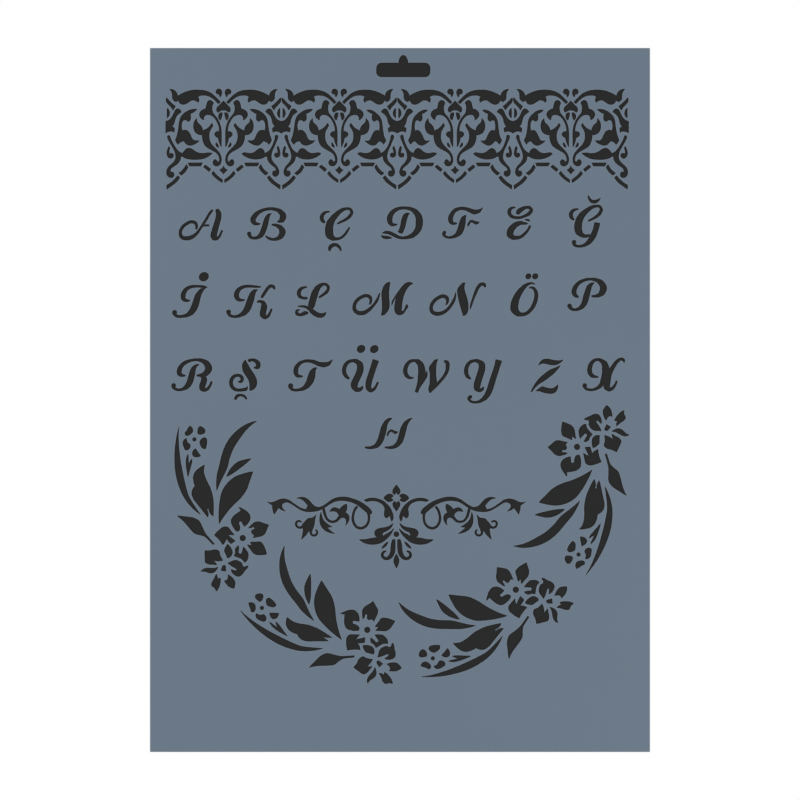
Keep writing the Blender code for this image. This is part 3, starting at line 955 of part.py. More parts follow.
def drawn(shapes):
    """Polygons of a motif in drawing units."""
    return [polygon for shape in shapes for polygon in shape.polygons()]


def mirrored(polygons):
    return [[-point.conjugate() for point in polygon] for polygon in polygons]


def placed(polygons, scale, at, height_scale=None):
    """Polygons brought to real size, with a height of their own where the motif is stretched."""
    height_scale = scale if height_scale is None else height_scale
    return [[at + complex(point.real * scale, point.imag * height_scale) for point in polygon]
            for polygon in polygons]


def turned(polygons, angle):
    turn = cmath.exp(1j * angle)
    return [[point * turn for point in polygon] for polygon in polygons]


def extent(polygons):
    """Lowest and highest corner of a motif, as two complex numbers."""
    points = [point for polygon in polygons for point in polygon]
    across = [point.real for point in points]
    up = [point.imag for point in points]
    return complex(min(across), min(up)), complex(max(across), max(up))


def hang_slot(top):
    """Bar with round corners and a pointed hump; top is the height of the hump's tip."""
    half = SLOT_LENGTH / 2 - SLOT_CORNER_RADIUS
    bar_top = top - HUMP_HEIGHT
    rise = SLOT_HEIGHT / 2 - SLOT_CORNER_RADIUS
    middle = complex(SLOT_OFFSET, bar_top - SLOT_HEIGHT / 2)
    bar = []
    for quarter, corner in enumerate((complex(half, rise), complex(-half, rise),
                                      complex(-half, -rise), complex(half, -rise))):
        for step in range(CORNER_STEPS + 1):
            angle = math.pi / 2 * (quarter + step / CORNER_STEPS)
            bar.append(middle + corner + SLOT_CORNER_RADIUS * cmath.exp(1j * angle))
    hump = []
    for step in range(HUMP_STEPS + 1):
        angle = math.pi * step / HUMP_STEPS
        point = complex(HUMP_WIDTH / 2 * math.cos(angle), HUMP_HEIGHT * math.sin(angle) ** HUMP_FULLNESS)
        hump.append(complex(SLOT_OFFSET, bar_top) + point)
    root = SLOT_CORNER_RADIUS * 1j
    hump += [hump[-1] - root, hump[0] - root]
    return [bar, hump]


def border_half(number):
    """One half of a motif, drawn to the right of its axis; number counts the halves from the left."""
    last = 2 * BORDER_MOTIFS - 1
    broad = {half % (last + 1) for half in BROAD_BELL_HALVES}
    bell = BROAD_BELL if number in broad else SLIM_BELL
    foot = END_FOOT if number in (0, last) else INNER_FOOT
    return drawn(BORDER_HALF + CROWN_HALF + bell + foot)


def border(base):
    """Row of scroll motifs, each of two mirrored halves, which meet in the crowns between them."""
    high = extent(border_half(0))[1]
    pitch = (SHEET_WIDTH - BORDER_LEFT_MARGIN - BORDER_RIGHT_MARGIN) / BORDER_MOTIFS
    scale = pitch / (2 * high.real)
    height_scale = BORDER_HEIGHT / high.imag
    start = complex(-SHEET_WIDTH / 2 + BORDER_LEFT_MARGIN, base)
    polygons = []
    for index in range(BORDER_MOTIFS):
        left = mirrored(border_half(2 * index))
        right = border_half(2 * index + 1)
        at = start + (index + 0.5) * pitch
        polygons += placed(left + right + drawn(BORDER_AXIS), scale, at, height_scale)
    return polygons


def letter_row(row, margins, baseline):
    """Letters from margin to margin; what their own widths leave free is shared out between them."""
    scale = LETTER_HEIGHT / LETTER_DRAWN_HEIGHT
    left, right = margins
    last_letter, last_start = row[-1]
    row_end = last_start + extent(drawn(LETTERS[last_letter]))[1].real
    spare = (SHEET_WIDTH - left - right - row_end * scale) / (len(row) - 1)
    polygons = []
    for index, (letter, start) in enumerate(row):
        at = complex(-SHEET_WIDTH / 2 + left + start * scale + index * spare, baseline)
        polygons += placed(drawn(LETTERS[letter]), scale, at)
    return polygons


def wreath_sprays():
    """The sprays of the wreath in drawing units, turned about its centre."""
    spray = drawn(SPRAY)
    polygons = []
    for turn, shift in SPRAY_PLACES:
        polygons += placed(turned(spray, math.radians(turn)), 1.0, shift)
    return polygons


def inside_wreath(sprays, wreath_scale, centre):
    """The ornament that fills the wreath's opening, and the last letter above it."""
    opening = min(abs(point) for polygon in sprays for point in polygon) * wreath_scale
    half = drawn(ORNAMENT_HALF)
    ornament = half + mirrored(half) + drawn(ORNAMENT_AXIS)
    ornament = placed(ornament, 1.0, ORNAMENT_DRAWN_PLACE)
    reach = max(abs(point) for polygon in ornament for point in polygon)
    polygons = placed(ornament, (opening - ORNAMENT_CLEARANCE) / reach, centre)
    letter_scale = LETTER_HEIGHT / LETTER_DRAWN_HEIGHT
    letter = drawn(LETTERS[LAST_LETTER])
    low, high = extent(letter)
    at = centre + complex(LAST_LETTER_X, LAST_LETTER_Y) - (low + high).real / 2 * letter_scale
    return polygons + placed(letter, letter_scale, at)


def layout():
    """All the cut-outs in their places down the sheet, in metres."""
    sprays = wreath_sprays()
    low, high = extent(sprays)
    wreath_scale = (SHEET_WIDTH / 2 - WREATH_MARGIN) / high.real
    wreath_height = (high - low).imag * wreath_scale
    bands = [HUMP_HEIGHT + SLOT_HEIGHT, BORDER_HEIGHT, *[LETTER_HEIGHT] * len(ROWS), wreath_height]
    stretch = (SHEET_HEIGHT - sum(bands)) / sum(COLUMN_GAPS)
    tops = []
    level = SHEET_HEIGHT / 2
    for gap, band in zip(COLUMN_GAPS, bands):
        level -= gap * stretch
        tops.append(level)
        level -= band
    polygons = hang_slot(tops[0])
    polygons += border(tops[1] - BORDER_HEIGHT)
    for row, margins, top in zip(ROWS, ROW_MARGINS, tops[2:]):
        polygons += letter_row(row, margins, top - LETTER_HEIGHT)
    centre = complex(0, tops[-1] - high.imag * wreath_scale)
    polygons += placed(sprays, wreath_scale, centre)
    polygons += inside_wreath(sprays, wreath_scale, centre)
    return polygons


def sheet_triangles(holes):
    """Points and triangles of the sheet's face outside the holes, overlapping holes counted as one."""
    corner = complex(SHEET_WIDTH / 2, SHEET_HEIGHT / 2)
    rim = [-corner, corner.conjugate(), corner, -corner.conjugate()]
    points = []
    faces = []
    for polygon in [rim, *holes]:
        if signed_area(polygon) < 0:
            polygon = polygon[::-1]
        faces.append(list(range(len(points), len(points) + len(polygon))))
        points += [(point.real, point.imag) for point in polygon]
    flat, _, triangles, _, _, sources = delaunay_2d_cdt(points, [], faces, 1, MERGE_DISTANCE)
    solid = [tuple(triangle) for triangle, source in zip(triangles, sources) if list(source) == [0]]
    return [complex(*point) for point in flat], solid


def hole_rings(points, triangles):
    """Closed rings round the holes of a flat triangle mesh, without the rim of the sheet."""
    edges = {(triangle[i - 1], triangle[i]) for triangle in triangles for i in range(3)}
    following = {}
    for start, end in sorted(edge for edge in edges if edge[::-1] not in edges):
        following.setdefault(start, []).append(end)
    rings = []
    for start in following:
        while following[start]:
            ring = [start]
            at = following[start].pop()
            while at != start:
                ring.append(at)
                at = following[at].pop()
            rings.append([points[index] for index in ring])
    widest = max(rings, key=lambda ring: abs(signed_area(ring)))
    return [ring for ring in rings if ring is not widest]


def distance_to_chord(point, start, end):
    chord = end - start
    along = ((point - start) * chord.conjugate()).real / abs(chord) ** 2
    return abs(point - start - min(1.0, max(0.0, along)) * chord)


def key_points(ring, flatness):
    """Numbers of the ring's points that keep its chords within the flatness, finer on a small ring."""
    low, high = extent([ring])
    limit = min(flatness, SMALL_HOLE_FLATNESS * abs(high - low))
    far = max(range(len(ring)), key=lambda i: abs(ring[i] - ring[0]))
    closed = ring + ring[:1]
    keep = {0, far}
    open_runs = [(0, far), (far, len(ring))]
    while open_runs:
        start, end = open_runs.pop()
        between = range(start + 1, end)
        if not between:
            continue
        off = {i: distance_to_chord(closed[i], closed[start], closed[end]) for i in between}
        furthest = max(off, key=off.get)
        if off[furthest] > limit:
            keep.add(furthest)
            open_runs += [(start, furthest), (furthest, end)]
    return sorted(keep)


def from_its_tip(ring):
    """The same ring, started at one of its two points that lie furthest apart."""
    far = max(range(len(ring)), key=lambda i: abs(ring[i] - ring[0]))
    tip = max(range(len(ring)), key=lambda i: abs(ring[i] - ring[far]))
    return ring[tip:] + ring[:tip]


def chord_lean(ring, start, end):
    """Unit normal of a chord of the ring, and how far along it the curve lies on average."""
    run = ring[start:end + 1] if end > start else ring[start:] + ring[:end + 1]
    chord = run[-1] - run[0]
    area = signed_area([*run])
    return 1j * chord / abs(chord), -area / abs(chord)


def balanced(ring, keep):
    """Key points moved so that each chord lies half inside and half outside the curve; tips stay."""
    chords = [chord_lean(ring, keep[k], keep[(k + 1) % len(keep)]) for k in range(len(keep))]
    points = []
    for k, i in enumerate(keep):
        turn = (ring[(i + 1) % len(ring)] - ring[i]) / (ring[i] - ring[i - 1])
        (normal_before, lean_before), (normal_after, lean_after) = chords[k - 1], chords[k]
        normal = normal_before + normal_after
        if abs(cmath.phase(turn)) > TIP_TURN or abs(normal) < TIP_NORMAL:
            points.append(ring[i])
        else:
            points.append(ring[i] + normal / abs(normal) * (lean_before + lean_after) / 2)
    return points


def faceted(rings):
    """The rings in straight facets, as fine as the number of cut-out points allows."""
    rings = [from_its_tip(ring) for ring in rings]
    flatness = FINEST_FLATNESS
    keys = [key_points(ring, flatness) for ring in rings]
    while sum(len(keep) for keep in keys) > CUT_OUT_POINTS:
        flatness *= COARSER
        keys = [key_points(ring, flatness) for ring in rings]
    return [balanced(ring, keep) for ring, keep in zip(rings, keys) if len(keep) > 2]


def plastic():
    """Satin blue-grey plastic of the sheet."""
    material = bpy.data.materials.new("blue_grey_plastic")
    material.use_nodes = True
    shader = material.node_tree.nodes["Principled BSDF"]
    shader.inputs["Base Color"].default_value = (0.150, 0.191, 0.242, 1.0)
    shader.inputs["Metallic"].default_value = 0.0
    shader.inputs["Roughness"].default_value = 0.45
    return material


def build_sheet():
    points, triangles = sheet_triangles(layout())
    points, triangles = sheet_triangles(faceted(hole_rings(points, triangles)))
    used = sorted({index for triangle in triangles for index in triangle})
    place = {index: number for number, index in enumerate(used)}
    mesh = bpy.data.meshes.new("stencil_sheet")
    corners = [(points[index].real, points[index].imag, 0.0) for index in used]
    mesh.from_pydata(corners, [], [[place[index] for index in triangle] for triangle in triangles])
    mesh.materials.append(plastic())
    sheet = bpy.data.objects.new("stencil_sheet", mesh)
    bpy.context.collection.objects.link(sheet)
    thickness = sheet.modifiers.new("thickness", "SOLIDIFY")
    thickness.thickness = SHEET_THICKNESS
    thickness.offset = 1.0
    return sheet


for leftover in list(bpy.data.objects):
    bpy.data.objects.remove(leftover)
build_sheet()
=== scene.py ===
"""Looks of the drawing stencil: a thin openwork plastic sheet, lying flat with a dark card under it.

The frame gives the sheet's box. The motifs are the ones that the construction cuts, with a few small
forms drawn more fully. Their lines are fine curves here, every cut has its softened lip and its bare
wall, and the film has the satin grain and the faint streaks of a laser-cut sheet. The film is paler at
the cuts, partly their frosted melt and partly a painted highlight along the cut edges.

Drawing coordinates are complex numbers, x along the real axis and y along the imaginary one.
"""
import cmath
import logging
import math
from dataclasses import dataclass, field
from enum import Enum
from typing import Any

import bpy
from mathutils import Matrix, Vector
from mathutils.geometry import delaunay_2d_cdt
from mathutils.kdtree import KDTree


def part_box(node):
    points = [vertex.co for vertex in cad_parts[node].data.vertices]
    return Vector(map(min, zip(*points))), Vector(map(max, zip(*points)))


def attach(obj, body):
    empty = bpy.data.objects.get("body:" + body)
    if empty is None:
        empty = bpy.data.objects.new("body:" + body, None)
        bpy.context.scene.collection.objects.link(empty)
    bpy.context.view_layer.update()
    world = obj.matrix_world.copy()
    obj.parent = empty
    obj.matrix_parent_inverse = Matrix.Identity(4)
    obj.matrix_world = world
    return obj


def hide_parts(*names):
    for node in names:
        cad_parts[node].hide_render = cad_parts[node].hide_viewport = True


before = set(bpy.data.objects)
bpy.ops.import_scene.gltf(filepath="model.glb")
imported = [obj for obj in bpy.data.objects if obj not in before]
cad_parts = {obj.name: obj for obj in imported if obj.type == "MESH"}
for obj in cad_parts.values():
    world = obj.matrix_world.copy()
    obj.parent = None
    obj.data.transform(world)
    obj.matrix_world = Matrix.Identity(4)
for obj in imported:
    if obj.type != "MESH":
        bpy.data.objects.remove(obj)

Polygon = list[complex]
Triangle = tuple[int, ...]
Edge = tuple[int, int]
Colour = tuple[float, float, float]

# Steps that curves are drawn with
SPAN_STEPS = 8
DOT_STEPS = 48
CAP_STEPS = 12
CORNER_STEPS = 12
HUMP_STEPS = 24

# Two unit vectors are parallel when their cross product is below this
PARALLEL = 1e-9

# A Bezier handle is this share of its chord, over one plus the cosine of its turn from the chord
HANDLE_SHARE = 2 / 3

# Points closer than this are one point
MERGE_DISTANCE = 1e-8

# Kind of triangulation that keeps only the triangles inside the outlines
TRIANGLES_INSIDE = 1


class Mark(Enum):
    """How an outline passes one of its nodes, and how a stroke ends at its first or last node."""

    CORNER = "corner"
    FLAT = "flat"


CORNER = Mark.CORNER
FLAT = Mark.FLAT
Node = tuple[float | Mark, ...]


def bezier_point(p0: complex, p1: complex, p2: complex, p3: complex, t: float) -> complex:
    """Find a point of a cubic Bezier curve.

    Args:
        p0: Start of the curve.
        p1: First handle.
        p2: Second handle.
        p3: End of the curve.
        t: Place along the curve, from 0 to 1.

    Returns:
        The point.
    """
    s = 1 - t
    return s**3 * p0 + 3 * s * s * t * p1 + 3 * s * t * t * p2 + t**3 * p3


def curve_span(start: complex, end: complex, leaving: complex, arriving: complex) -> tuple[complex, ...]:
    """Lay a Bezier curve between two nodes, close to an arc where the two tangents allow one.

    Args:
        start: First node.
        end: Second node.
        leaving: Unit tangent at the first node.
        arriving: Unit tangent at the second node.

    Returns:
        The curve's four control points.
    """
    chord = end - start
    direction = chord / abs(chord)
    handle = abs(chord) * HANDLE_SHARE
    reach_out = handle / (1 + max(0.0, (leaving * direction.conjugate()).real))
    reach_in = handle / (1 + max(0.0, (arriving * direction.conjugate()).real))
    return start, start + leaving * reach_out, end - arriving * reach_in, end


def smooth_tangent(before: complex, at: complex, after: complex) -> complex:
    """Find the unit tangent at a node, along the circle through it and its two neighbours.

    Args:
        before: The node before it.
        at: The node.
        after: The node after it.

    Returns:
        The unit tangent.
    """
    a = at - before
    b = after - at
    tangent = a * (abs(b) / abs(a)) + b * (abs(a) / abs(b))
    return tangent / abs(tangent)


def mirrored_tangent(tangent: complex, start: complex, end: complex) -> complex:
    """Find the unit tangent at one end of a simple arc from the tangent at its other end.

    Args:
        tangent: Unit tangent at the other end.
        start: Start of the arc.
        end: End of the arc.

    Returns:
        The unit tangent at this end.
    """
    direction = (end - start) / abs(end - start)
    return direction * direction * tangent.conjugate()


@dataclass(frozen=True)
class Outline:
    """Closed line through its nodes (x, y), smooth at each node unless the node is a corner."""

    nodes: tuple[Node, ...]

    def tangents(self, points: Polygon) -> list[complex | None]:
        """Find the tangent at each node.

        Args:
            points: The nodes' places.

        Returns:
            A unit tangent for each smooth node, and None for each corner.
        """
        count = len(points)
        return [None if node[-1] == CORNER else
                smooth_tangent(points[i - 1], points[i], points[(i + 1) % count])
                for i, node in enumerate(self.nodes)]

    def polygons(self) -> list[Polygon]:
        """Draw the outline.

        Returns:
            One polygon, in a list.
        """
        points = [complex(node[0], node[1]) for node in self.nodes]
        tangents = self.tangents(points)
        line: Polygon = []
        for i, start in enumerate(points):
            after = (i + 1) % len(points)
            end = points[after]
            direction = (end - start) / abs(end - start)
            leaving = tangents[i]
            arriving = tangents[after]
            if leaving is None and arriving is None:
                leaving = arriving = direction
            elif leaving is None:
                leaving = mirrored_tangent(arriving, start, end)
            elif arriving is None:
                arriving = mirrored_tangent(leaving, start, end)
            bends = max(abs((tangent * direction.conjugate()).imag) for tangent in (leaving, arriving))
            steps = 1 if bends < PARALLEL else SPAN_STEPS
            span = curve_span(start, end, leaving, arriving)
            line += [bezier_point(*span, step / steps) for step in range(steps)]
        return [line]


@dataclass(frozen=True)
class HalfOutline:
    """Half of a closed outline, from the upright axis back to it; its mirror image is the other half."""

    nodes: tuple[Node, ...]

    def polygons(self) -> list[Polygon]:
        """Draw the whole outline, as one polygon in a list."""
        back = [(-node[0], *node[1:]) for node in reversed(self.nodes[1:-1])]
        return Outline((*self.nodes, *back)).polygons()


@dataclass(frozen=True)
class Dot:
    """Oval dot: its centre, its two radii and the turn of the first radius in degrees."""

    x: float
    y: float
    long_radius: float
    short_radius: float
    tilt: float = 0.0

    def polygons(self) -> list[Polygon]:
        """Draw the oval.

        Returns:
            One polygon, in a list.
        """
        turn = cmath.exp(1j * math.radians(self.tilt))
        oval = []
        for step in range(DOT_STEPS):
            angle = 2 * math.pi * step / DOT_STEPS
            point = complex(self.long_radius * math.cos(angle), self.short_radius * math.sin(angle))
            oval.append(complex(self.x, self.y) + turn * point)
        return [oval]


@dataclass(frozen=True)
class Stroke:
    """Pen stroke along nodes (x, y, width), round at its ends unless an end node is flat."""

    nodes: tuple[Node, ...]

    def tangents(self, points: Polygon) -> Polygon:
        """Find the unit tangent at each node.

        Args:
            points: The nodes' places.

        Returns:
            The unit tangents.
        """
        inner = [smooth_tangent(*points[i - 1:i + 2]) for i in range(1, len(points) - 1)]
        if not inner:
            direction = (points[1] - points[0]) / abs(points[1] - points[0])
            return [direction, direction]
        first = mirrored_tangent(inner[0], points[0], points[1])
        last = mirrored_tangent(inner[-1], points[-2], points[-1])
        return [first, *inner, last]

    def rungs(self) -> list[tuple[complex, complex]]:
        """Step along the stroke.

        Returns:
            Left and right edge points across the stroke, from its start to its end.
        """
        points = [complex(node[0], node[1]) for node in self.nodes]
        tangents = self.tangents(points)
        ladder = []
        for i in range(len(points) - 1):
            p0, p1, p2, p3 = curve_span(points[i], points[i + 1], tangents[i], tangents[i + 1])
            for step in range(SPAN_STEPS + (i == len(points) - 2)):
                t = step / SPAN_STEPS
                s = 1 - t
                along = s * s * (p1 - p0) + 2 * s * t * (p2 - p1) + t * t * (p3 - p2)
                blend = t * t * (3 - 2 * t)
                width = self.nodes[i][2] * (1 - blend) + self.nodes[i + 1][2] * blend
                across = 1j * along / abs(along) * width / 2
                centre = bezier_point(p0, p1, p2, p3, t)
                ladder.append((centre + across, centre - across))
        return ladder

    def cap(self, left: complex, right: complex) -> Polygon:
        """Draw the round end of a stroke.

        Args:
            left: Left end of the end rung, seen towards the end.
            right: Right end of the end rung.

        Returns:
            A half disc over the rung.
        """
        centre = (left + right) / 2
        return [centre + (left - centre) * cmath.exp(-1j * math.pi * step / CAP_STEPS)
                for step in range(CAP_STEPS + 1)]

    def polygons(self) -> list[Polygon]:
        """Draw the stroke.

        Returns:
            Triangles along the stroke and its round ends, which together cover it.
        """
        ladder = self.rungs()
        pieces = []
        for (left, right), (next_left, next_right) in zip(ladder, ladder[1:]):
            pieces.append([left, right, next_left])
            pieces.append([right, next_right, next_left])
        if self.nodes[-1][-1] != FLAT:
            pieces.append(self.cap(*ladder[-1]))
        if self.nodes[0][-1] != FLAT:
            pieces.append(self.cap(ladder[0][1], ladder[0][0]))
        return pieces


Shape = Outline | HalfOutline | Dot | Stroke

# The piece that the construction makes, and the mark on its cut edges
CAD_NODE = "stencil_sheet"
CUT_ATTRIBUTE = "cut_edge"

# A face is level when its normal's upright share is above this
LEVEL = 0.99999

# Numbers of a Mix node's two inputs and its output, for each type of value that it mixes
MIX_SOCKETS = {"FLOAT": (2, 3, 0), "RGBA": (6, 7, 2)}

# A noise swings evenly about this value
NOISE_MIDDLE = 0.5

WHITE = (1.0, 1.0, 1.0, 1.0)

# Half a motif of the border, from its axis outwards and up from the border's base
BORDER_HALF = (
    Outline((
        (0.7, 49.1), (1.2, 50.3), (2.4, 50.8), (3.6, 50.1), (3.8, 49.0), (3.1, 48.1), (2.3, 48.0, CORNER),
        (2.0, 47.1), (1.7, 46.4, CORNER), (1.1, 47.4)
    )),
    Outline((
        (0.45, 38.8, CORNER), (1.8, 38.7), (2.5, 37.6), (1.4, 34.9, CORNER), (0.95, 36.2), (0.6, 37.4)
    )),
    Outline((
        (1.4, 44.1, CORNER), (3.6, 46.4), (6.3, 48.7), (9.5, 49.95), (13.0, 50.3), (16.5, 50.0),
        (19.6, 49.0), (22.8, 47.3, CORNER), (23.5, 49.1), (24.8, 50.2), (27.1, 50.6, CORNER), (25.9, 49.1),
        (25.6, 47.4), (25.5, 45.8), (24.7, 44.7), (23.8, 44.15, CORNER), (22.5, 44.9, CORNER),
        (21.8, 43.5), (20.2, 42.85), (18.6, 43.2), (17.2, 44.1), (15.8, 44.95), (14.2, 44.85),
        (12.7, 43.8, CORNER), (12.15, 45.1), (12.7, 46.7, CORNER), (11.6, 47.3), (9.8, 47.45), (7.6, 47.1),
        (5.7, 46.1), (4.0, 44.7), (2.5, 43.2, CORNER)
    )),
    Outline((
        (4.9, 43.6, CORNER), (5.7, 44.7), (6.9, 45.1), (8.0, 44.3), (8.5, 42.8), (8.9, 40.9, CORNER),
        (10.3, 40.4), (11.5, 39.5), (12.1, 38.0), (11.7, 36.6), (9.7, 35.05, CORNER), (9.75, 36.4),
        (8.9, 37.5), (7.6, 37.75), (6.0, 37.3), (4.5, 36.1), (3.2, 34.0), (2.4, 32.0), (2.2, 29.5, CORNER),
        (3.4, 29.4), (4.5, 28.0), (3.8, 26.8), (2.7, 26.2, CORNER), (2.3, 24.3), (1.0, 21.4, CORNER),
        (0.95, 25.5), (0.92, 28.5), (1.3, 31.8), (2.3, 34.7), (3.8, 37.0), (5.2, 38.8), (5.6, 40.5),
        (5.5, 42.3)
    )),
    Outline(((3.6, 24.1, CORNER), (3.95, 23.0), (2.2, 21.4, CORNER), (2.75, 22.9))),
    Outline((
        (5.8, 33.8, CORNER), (6.9, 32.2), (8.2, 31.0), (10.35, 30.0, CORNER), (10.7, 31.5), (11.6, 32.8),
        (12.9, 34.0), (13.2, 36.1, CORNER), (14.4, 34.8), (15.0, 32.8), (14.85, 30.6), (14.0, 28.9),
        (12.5, 27.9), (10.7, 27.6, CORNER), (10.6, 25.9), (10.1, 24.0), (9.1, 22.2), (7.5, 20.95),
        (5.6, 19.9), (4.0, 18.95), (2.8, 17.8), (2.15, 16.2), (2.2, 14.7), (2.8, 14.3), (3.3, 15.0),
        (4.2, 15.5), (5.2, 14.6), (5.1, 13.0), (3.7, 12.05), (2.1, 12.5), (1.1, 14.0), (0.97, 16.0),
        (1.5, 17.9), (2.7, 19.7), (4.4, 21.5), (6.0, 23.2), (6.9, 25.2), (7.1, 27.4), (6.8, 29.3),
        (6.0, 30.9), (5.1, 32.4, CORNER)
    )),
    Outline((
        (28.5, 46.5, CORNER), (27.0, 44.8), (25.4, 43.25), (23.85, 42.05, CORNER), (25.2, 39.9, CORNER),
        (26.1, 41.4), (27.4, 42.8), (28.45, 44.0)
    )),
    Outline(((28.25, 41.3, CORNER), (27.3, 40.3), (26.8, 38.7), (27.3, 36.9), (28.25, 36.0, CORNER))),
    Outline((
        (0.5, 3.7, CORNER), (0.45, 5.4, CORNER), (2.9, 7.2), (5.05, 9.8, CORNER), (6.0, 8.3, CORNER),
        (4.7, 6.8), (3.0, 5.3)
    )),
    Outline(((6.2, 10.6, CORNER), (9.0, 12.8, CORNER), (10.2, 11.75, CORNER), (7.15, 9.2, CORNER))),
    Outline(((10.35, 13.8, CORNER), (17.85, 13.8, CORNER), (17.0, 12.05, CORNER), (11.25, 12.05, CORNER))),
    Outline((
        (18.65, 13.15, CORNER), (20.1, 10.6), (22.5, 8.65, CORNER), (21.1, 7.45, CORNER), (19.05, 9.15),
        (17.6, 11.6, CORNER)
    )),
    Outline((
        (22.9, 7.5, CORNER), (25.05, 5.0), (28.45, 2.6, CORNER), (28.35, 0.4, CORNER), (26.05, 2.05),
        (23.75, 3.8), (21.7, 6.35, CORNER)
    )),
)
BORDER_AXIS = (
    HalfOutline((
        (0.0, 44.8, CORNER), (2.0, 42.7), (3.4, 41.1), (3.5, 39.9), (2.65, 38.85, CORNER), (1.5, 39.7),
        (0.0, 40.05)
    )),
    HalfOutline(((0.0, 12.4, CORNER), (0.8, 11.0), (2.2, 10.2, CORNER), (0.95, 9.15), (0.0, 8.0, CORNER))),
)
CROWN_HALF = (
    Outline((
        (28.9, 34.6, CORNER), (27.4, 35.1), (26.1, 36.3), (25.1, 38.0), (24.4, 39.6), (23.7, 40.6),
        (22.6, 40.85), (21.5, 40.2), (20.9, 39.1, CORNER), (22.4, 38.1), (23.4, 37.0), (24.0, 35.6),
        (24.5, 33.6), (25.5, 31.9, CORNER), (24.3, 31.1, CORNER), (24.6, 28.85, CORNER), (25.5, 29.35),
        (26.8, 29.4), (28.9, 28.4, CORNER)
    )),
)

# Bell leaf of a half motif in its slim and its broad form
SLIM_BELL = (
    Outline((
        (13.5, 40.2, CORNER), (15.2, 40.3), (17.0, 39.7), (18.8, 38.4), (20.4, 36.7), (21.2, 34.9),
        (21.6, 32.0), (21.95, 29.2), (22.5, 26.8), (23.4, 25.2, CORNER), (22.9, 24.0),
        (22.0, 22.85, CORNER), (21.2, 24.0), (19.8, 24.5, CORNER), (18.9, 23.4), (17.8, 22.6),
        (16.5, 22.4), (15.0, 22.95), (12.5, 25.1, CORNER), (14.0, 24.75), (15.1, 25.1), (15.8, 26.3),
        (16.4, 27.7), (17.3, 29.2), (18.5, 30.1), (19.85, 29.7, CORNER), (20.15, 31.5), (20.0, 33.5),
        (19.5, 34.8), (18.8, 35.1), (17.6, 34.4), (16.5, 35.2), (16.3, 36.8), (16.5, 38.2, CORNER),
        (15.2, 38.75)
    )),
)
BROAD_BELL = (
    Outline((
        (13.1, 40.6, CORNER), (15.3, 40.6), (17.2, 40.1), (19.3, 38.9), (21.1, 37.1), (22.0, 34.9),
        (22.4, 32.0), (22.8, 29.4), (23.3, 27.3), (24.15, 25.2, CORNER), (23.6, 24.0),
        (22.6, 22.75, CORNER), (21.5, 24.0), (19.8, 24.5, CORNER), (18.9, 23.4), (17.8, 22.6),
        (16.5, 22.4), (14.6, 22.9), (11.9, 25.0, CORNER), (13.5, 24.9), (15.0, 25.2), (15.8, 26.3),
        (16.4, 27.7), (17.3, 29.2), (18.5, 30.1), (20.5, 29.8, CORNER), (20.85, 31.5), (20.7, 33.5),
        (20.0, 34.9), (18.8, 35.1), (17.6, 34.4), (16.5, 35.2), (16.3, 36.8), (16.5, 38.2, CORNER),
        (15.0, 38.9)
    )),
)

# The halves with the broad form, counted from the left, or from the right where negative
BROAD_BELL_HALVES = (0, 1, 2, -1)

# Stem, foot leaf and hook of a half motif beside another motif, and at an end of the border
INNER_FOOT = (
    Outline((
        (25.75, 27.2), (26.4, 27.8), (27.25, 27.2), (27.15, 26.0), (26.4, 24.2), (25.6, 22.2), (24.7, 20.3),
        (24.1, 18.4), (23.9, 16.6), (24.3, 15.1), (25.4, 13.5), (26.7, 12.1), (27.5, 10.6), (27.8, 9.0),
        (27.2, 7.5), (26.0, 6.85), (24.8, 7.3), (24.35, 8.6), (25.0, 9.8, CORNER), (26.2, 9.9, CORNER),
        (26.0, 10.9), (24.9, 11.95), (23.4, 13.2), (22.2, 14.8), (21.75, 16.8, CORNER),
        (21.0, 16.9, CORNER), (19.4, 16.0), (17.0, 15.5), (14.4, 15.6), (12.0, 16.3), (10.2, 17.3),
        (9.0, 18.3, CORNER), (10.3, 18.95), (12.3, 18.65), (14.2, 18.65), (15.8, 19.4), (17.1, 20.55),
        (18.4, 21.1), (19.6, 20.6), (20.6, 18.6, CORNER), (22.0, 19.3), (23.3, 20.6), (24.2, 22.1),
        (25.0, 24.1), (25.6, 26.0)
    )),
    Outline((
        (26.7, 21.5), (27.2, 22.1), (27.75, 21.2), (28.3, 19.3), (28.3, 17.8), (27.6, 16.7),
        (26.5, 16.4), (25.5, 17.1), (25.45, 18.15), (26.1, 18.75), (27.05, 18.5, CORNER), (27.0, 19.8)
    )),
)
END_FOOT = (
    Outline((
        (26.6, 26.9), (27.2, 27.5), (28.0, 27.0), (27.9, 26.0), (27.0, 24.2), (25.9, 22.2), (24.8, 20.3),
        (24.1, 18.4), (23.9, 16.6), (24.3, 15.1), (25.5, 13.6), (27.1, 12.2), (28.15, 10.7), (28.5, 8.9),
        (27.9, 7.1), (26.5, 6.3), (25.1, 6.6), (24.6, 7.9), (25.2, 9.15, CORNER), (26.4, 9.3, CORNER),
        (26.4, 10.3), (25.2, 11.6), (23.3, 12.9), (21.8, 14.6), (21.2, 16.8, CORNER),
        (20.6, 16.9, CORNER), (19.1, 16.0), (16.4, 15.4), (13.0, 15.35), (9.6, 15.9), (7.4, 17.0),
        (5.35, 18.6, CORNER), (7.6, 18.85), (10.2, 18.55), (12.4, 18.8), (13.96, 19.5), (15.2, 20.4),
        (16.7, 21.1), (18.0, 21.1), (19.0, 20.4), (20.4, 18.6, CORNER), (22.0, 19.3), (23.3, 20.6),
        (24.4, 22.2), (25.5, 24.2), (26.4, 26.1)
    )),
    Outline((
        (26.7, 21.3), (27.15, 21.9), (27.75, 21.0), (28.3, 19.3), (28.2, 17.5), (27.4, 16.3),
        (26.2, 15.9), (25.15, 16.6), (24.9, 17.8), (25.7, 18.55), (27.0, 18.3, CORNER), (27.05, 19.8)
    )),
)

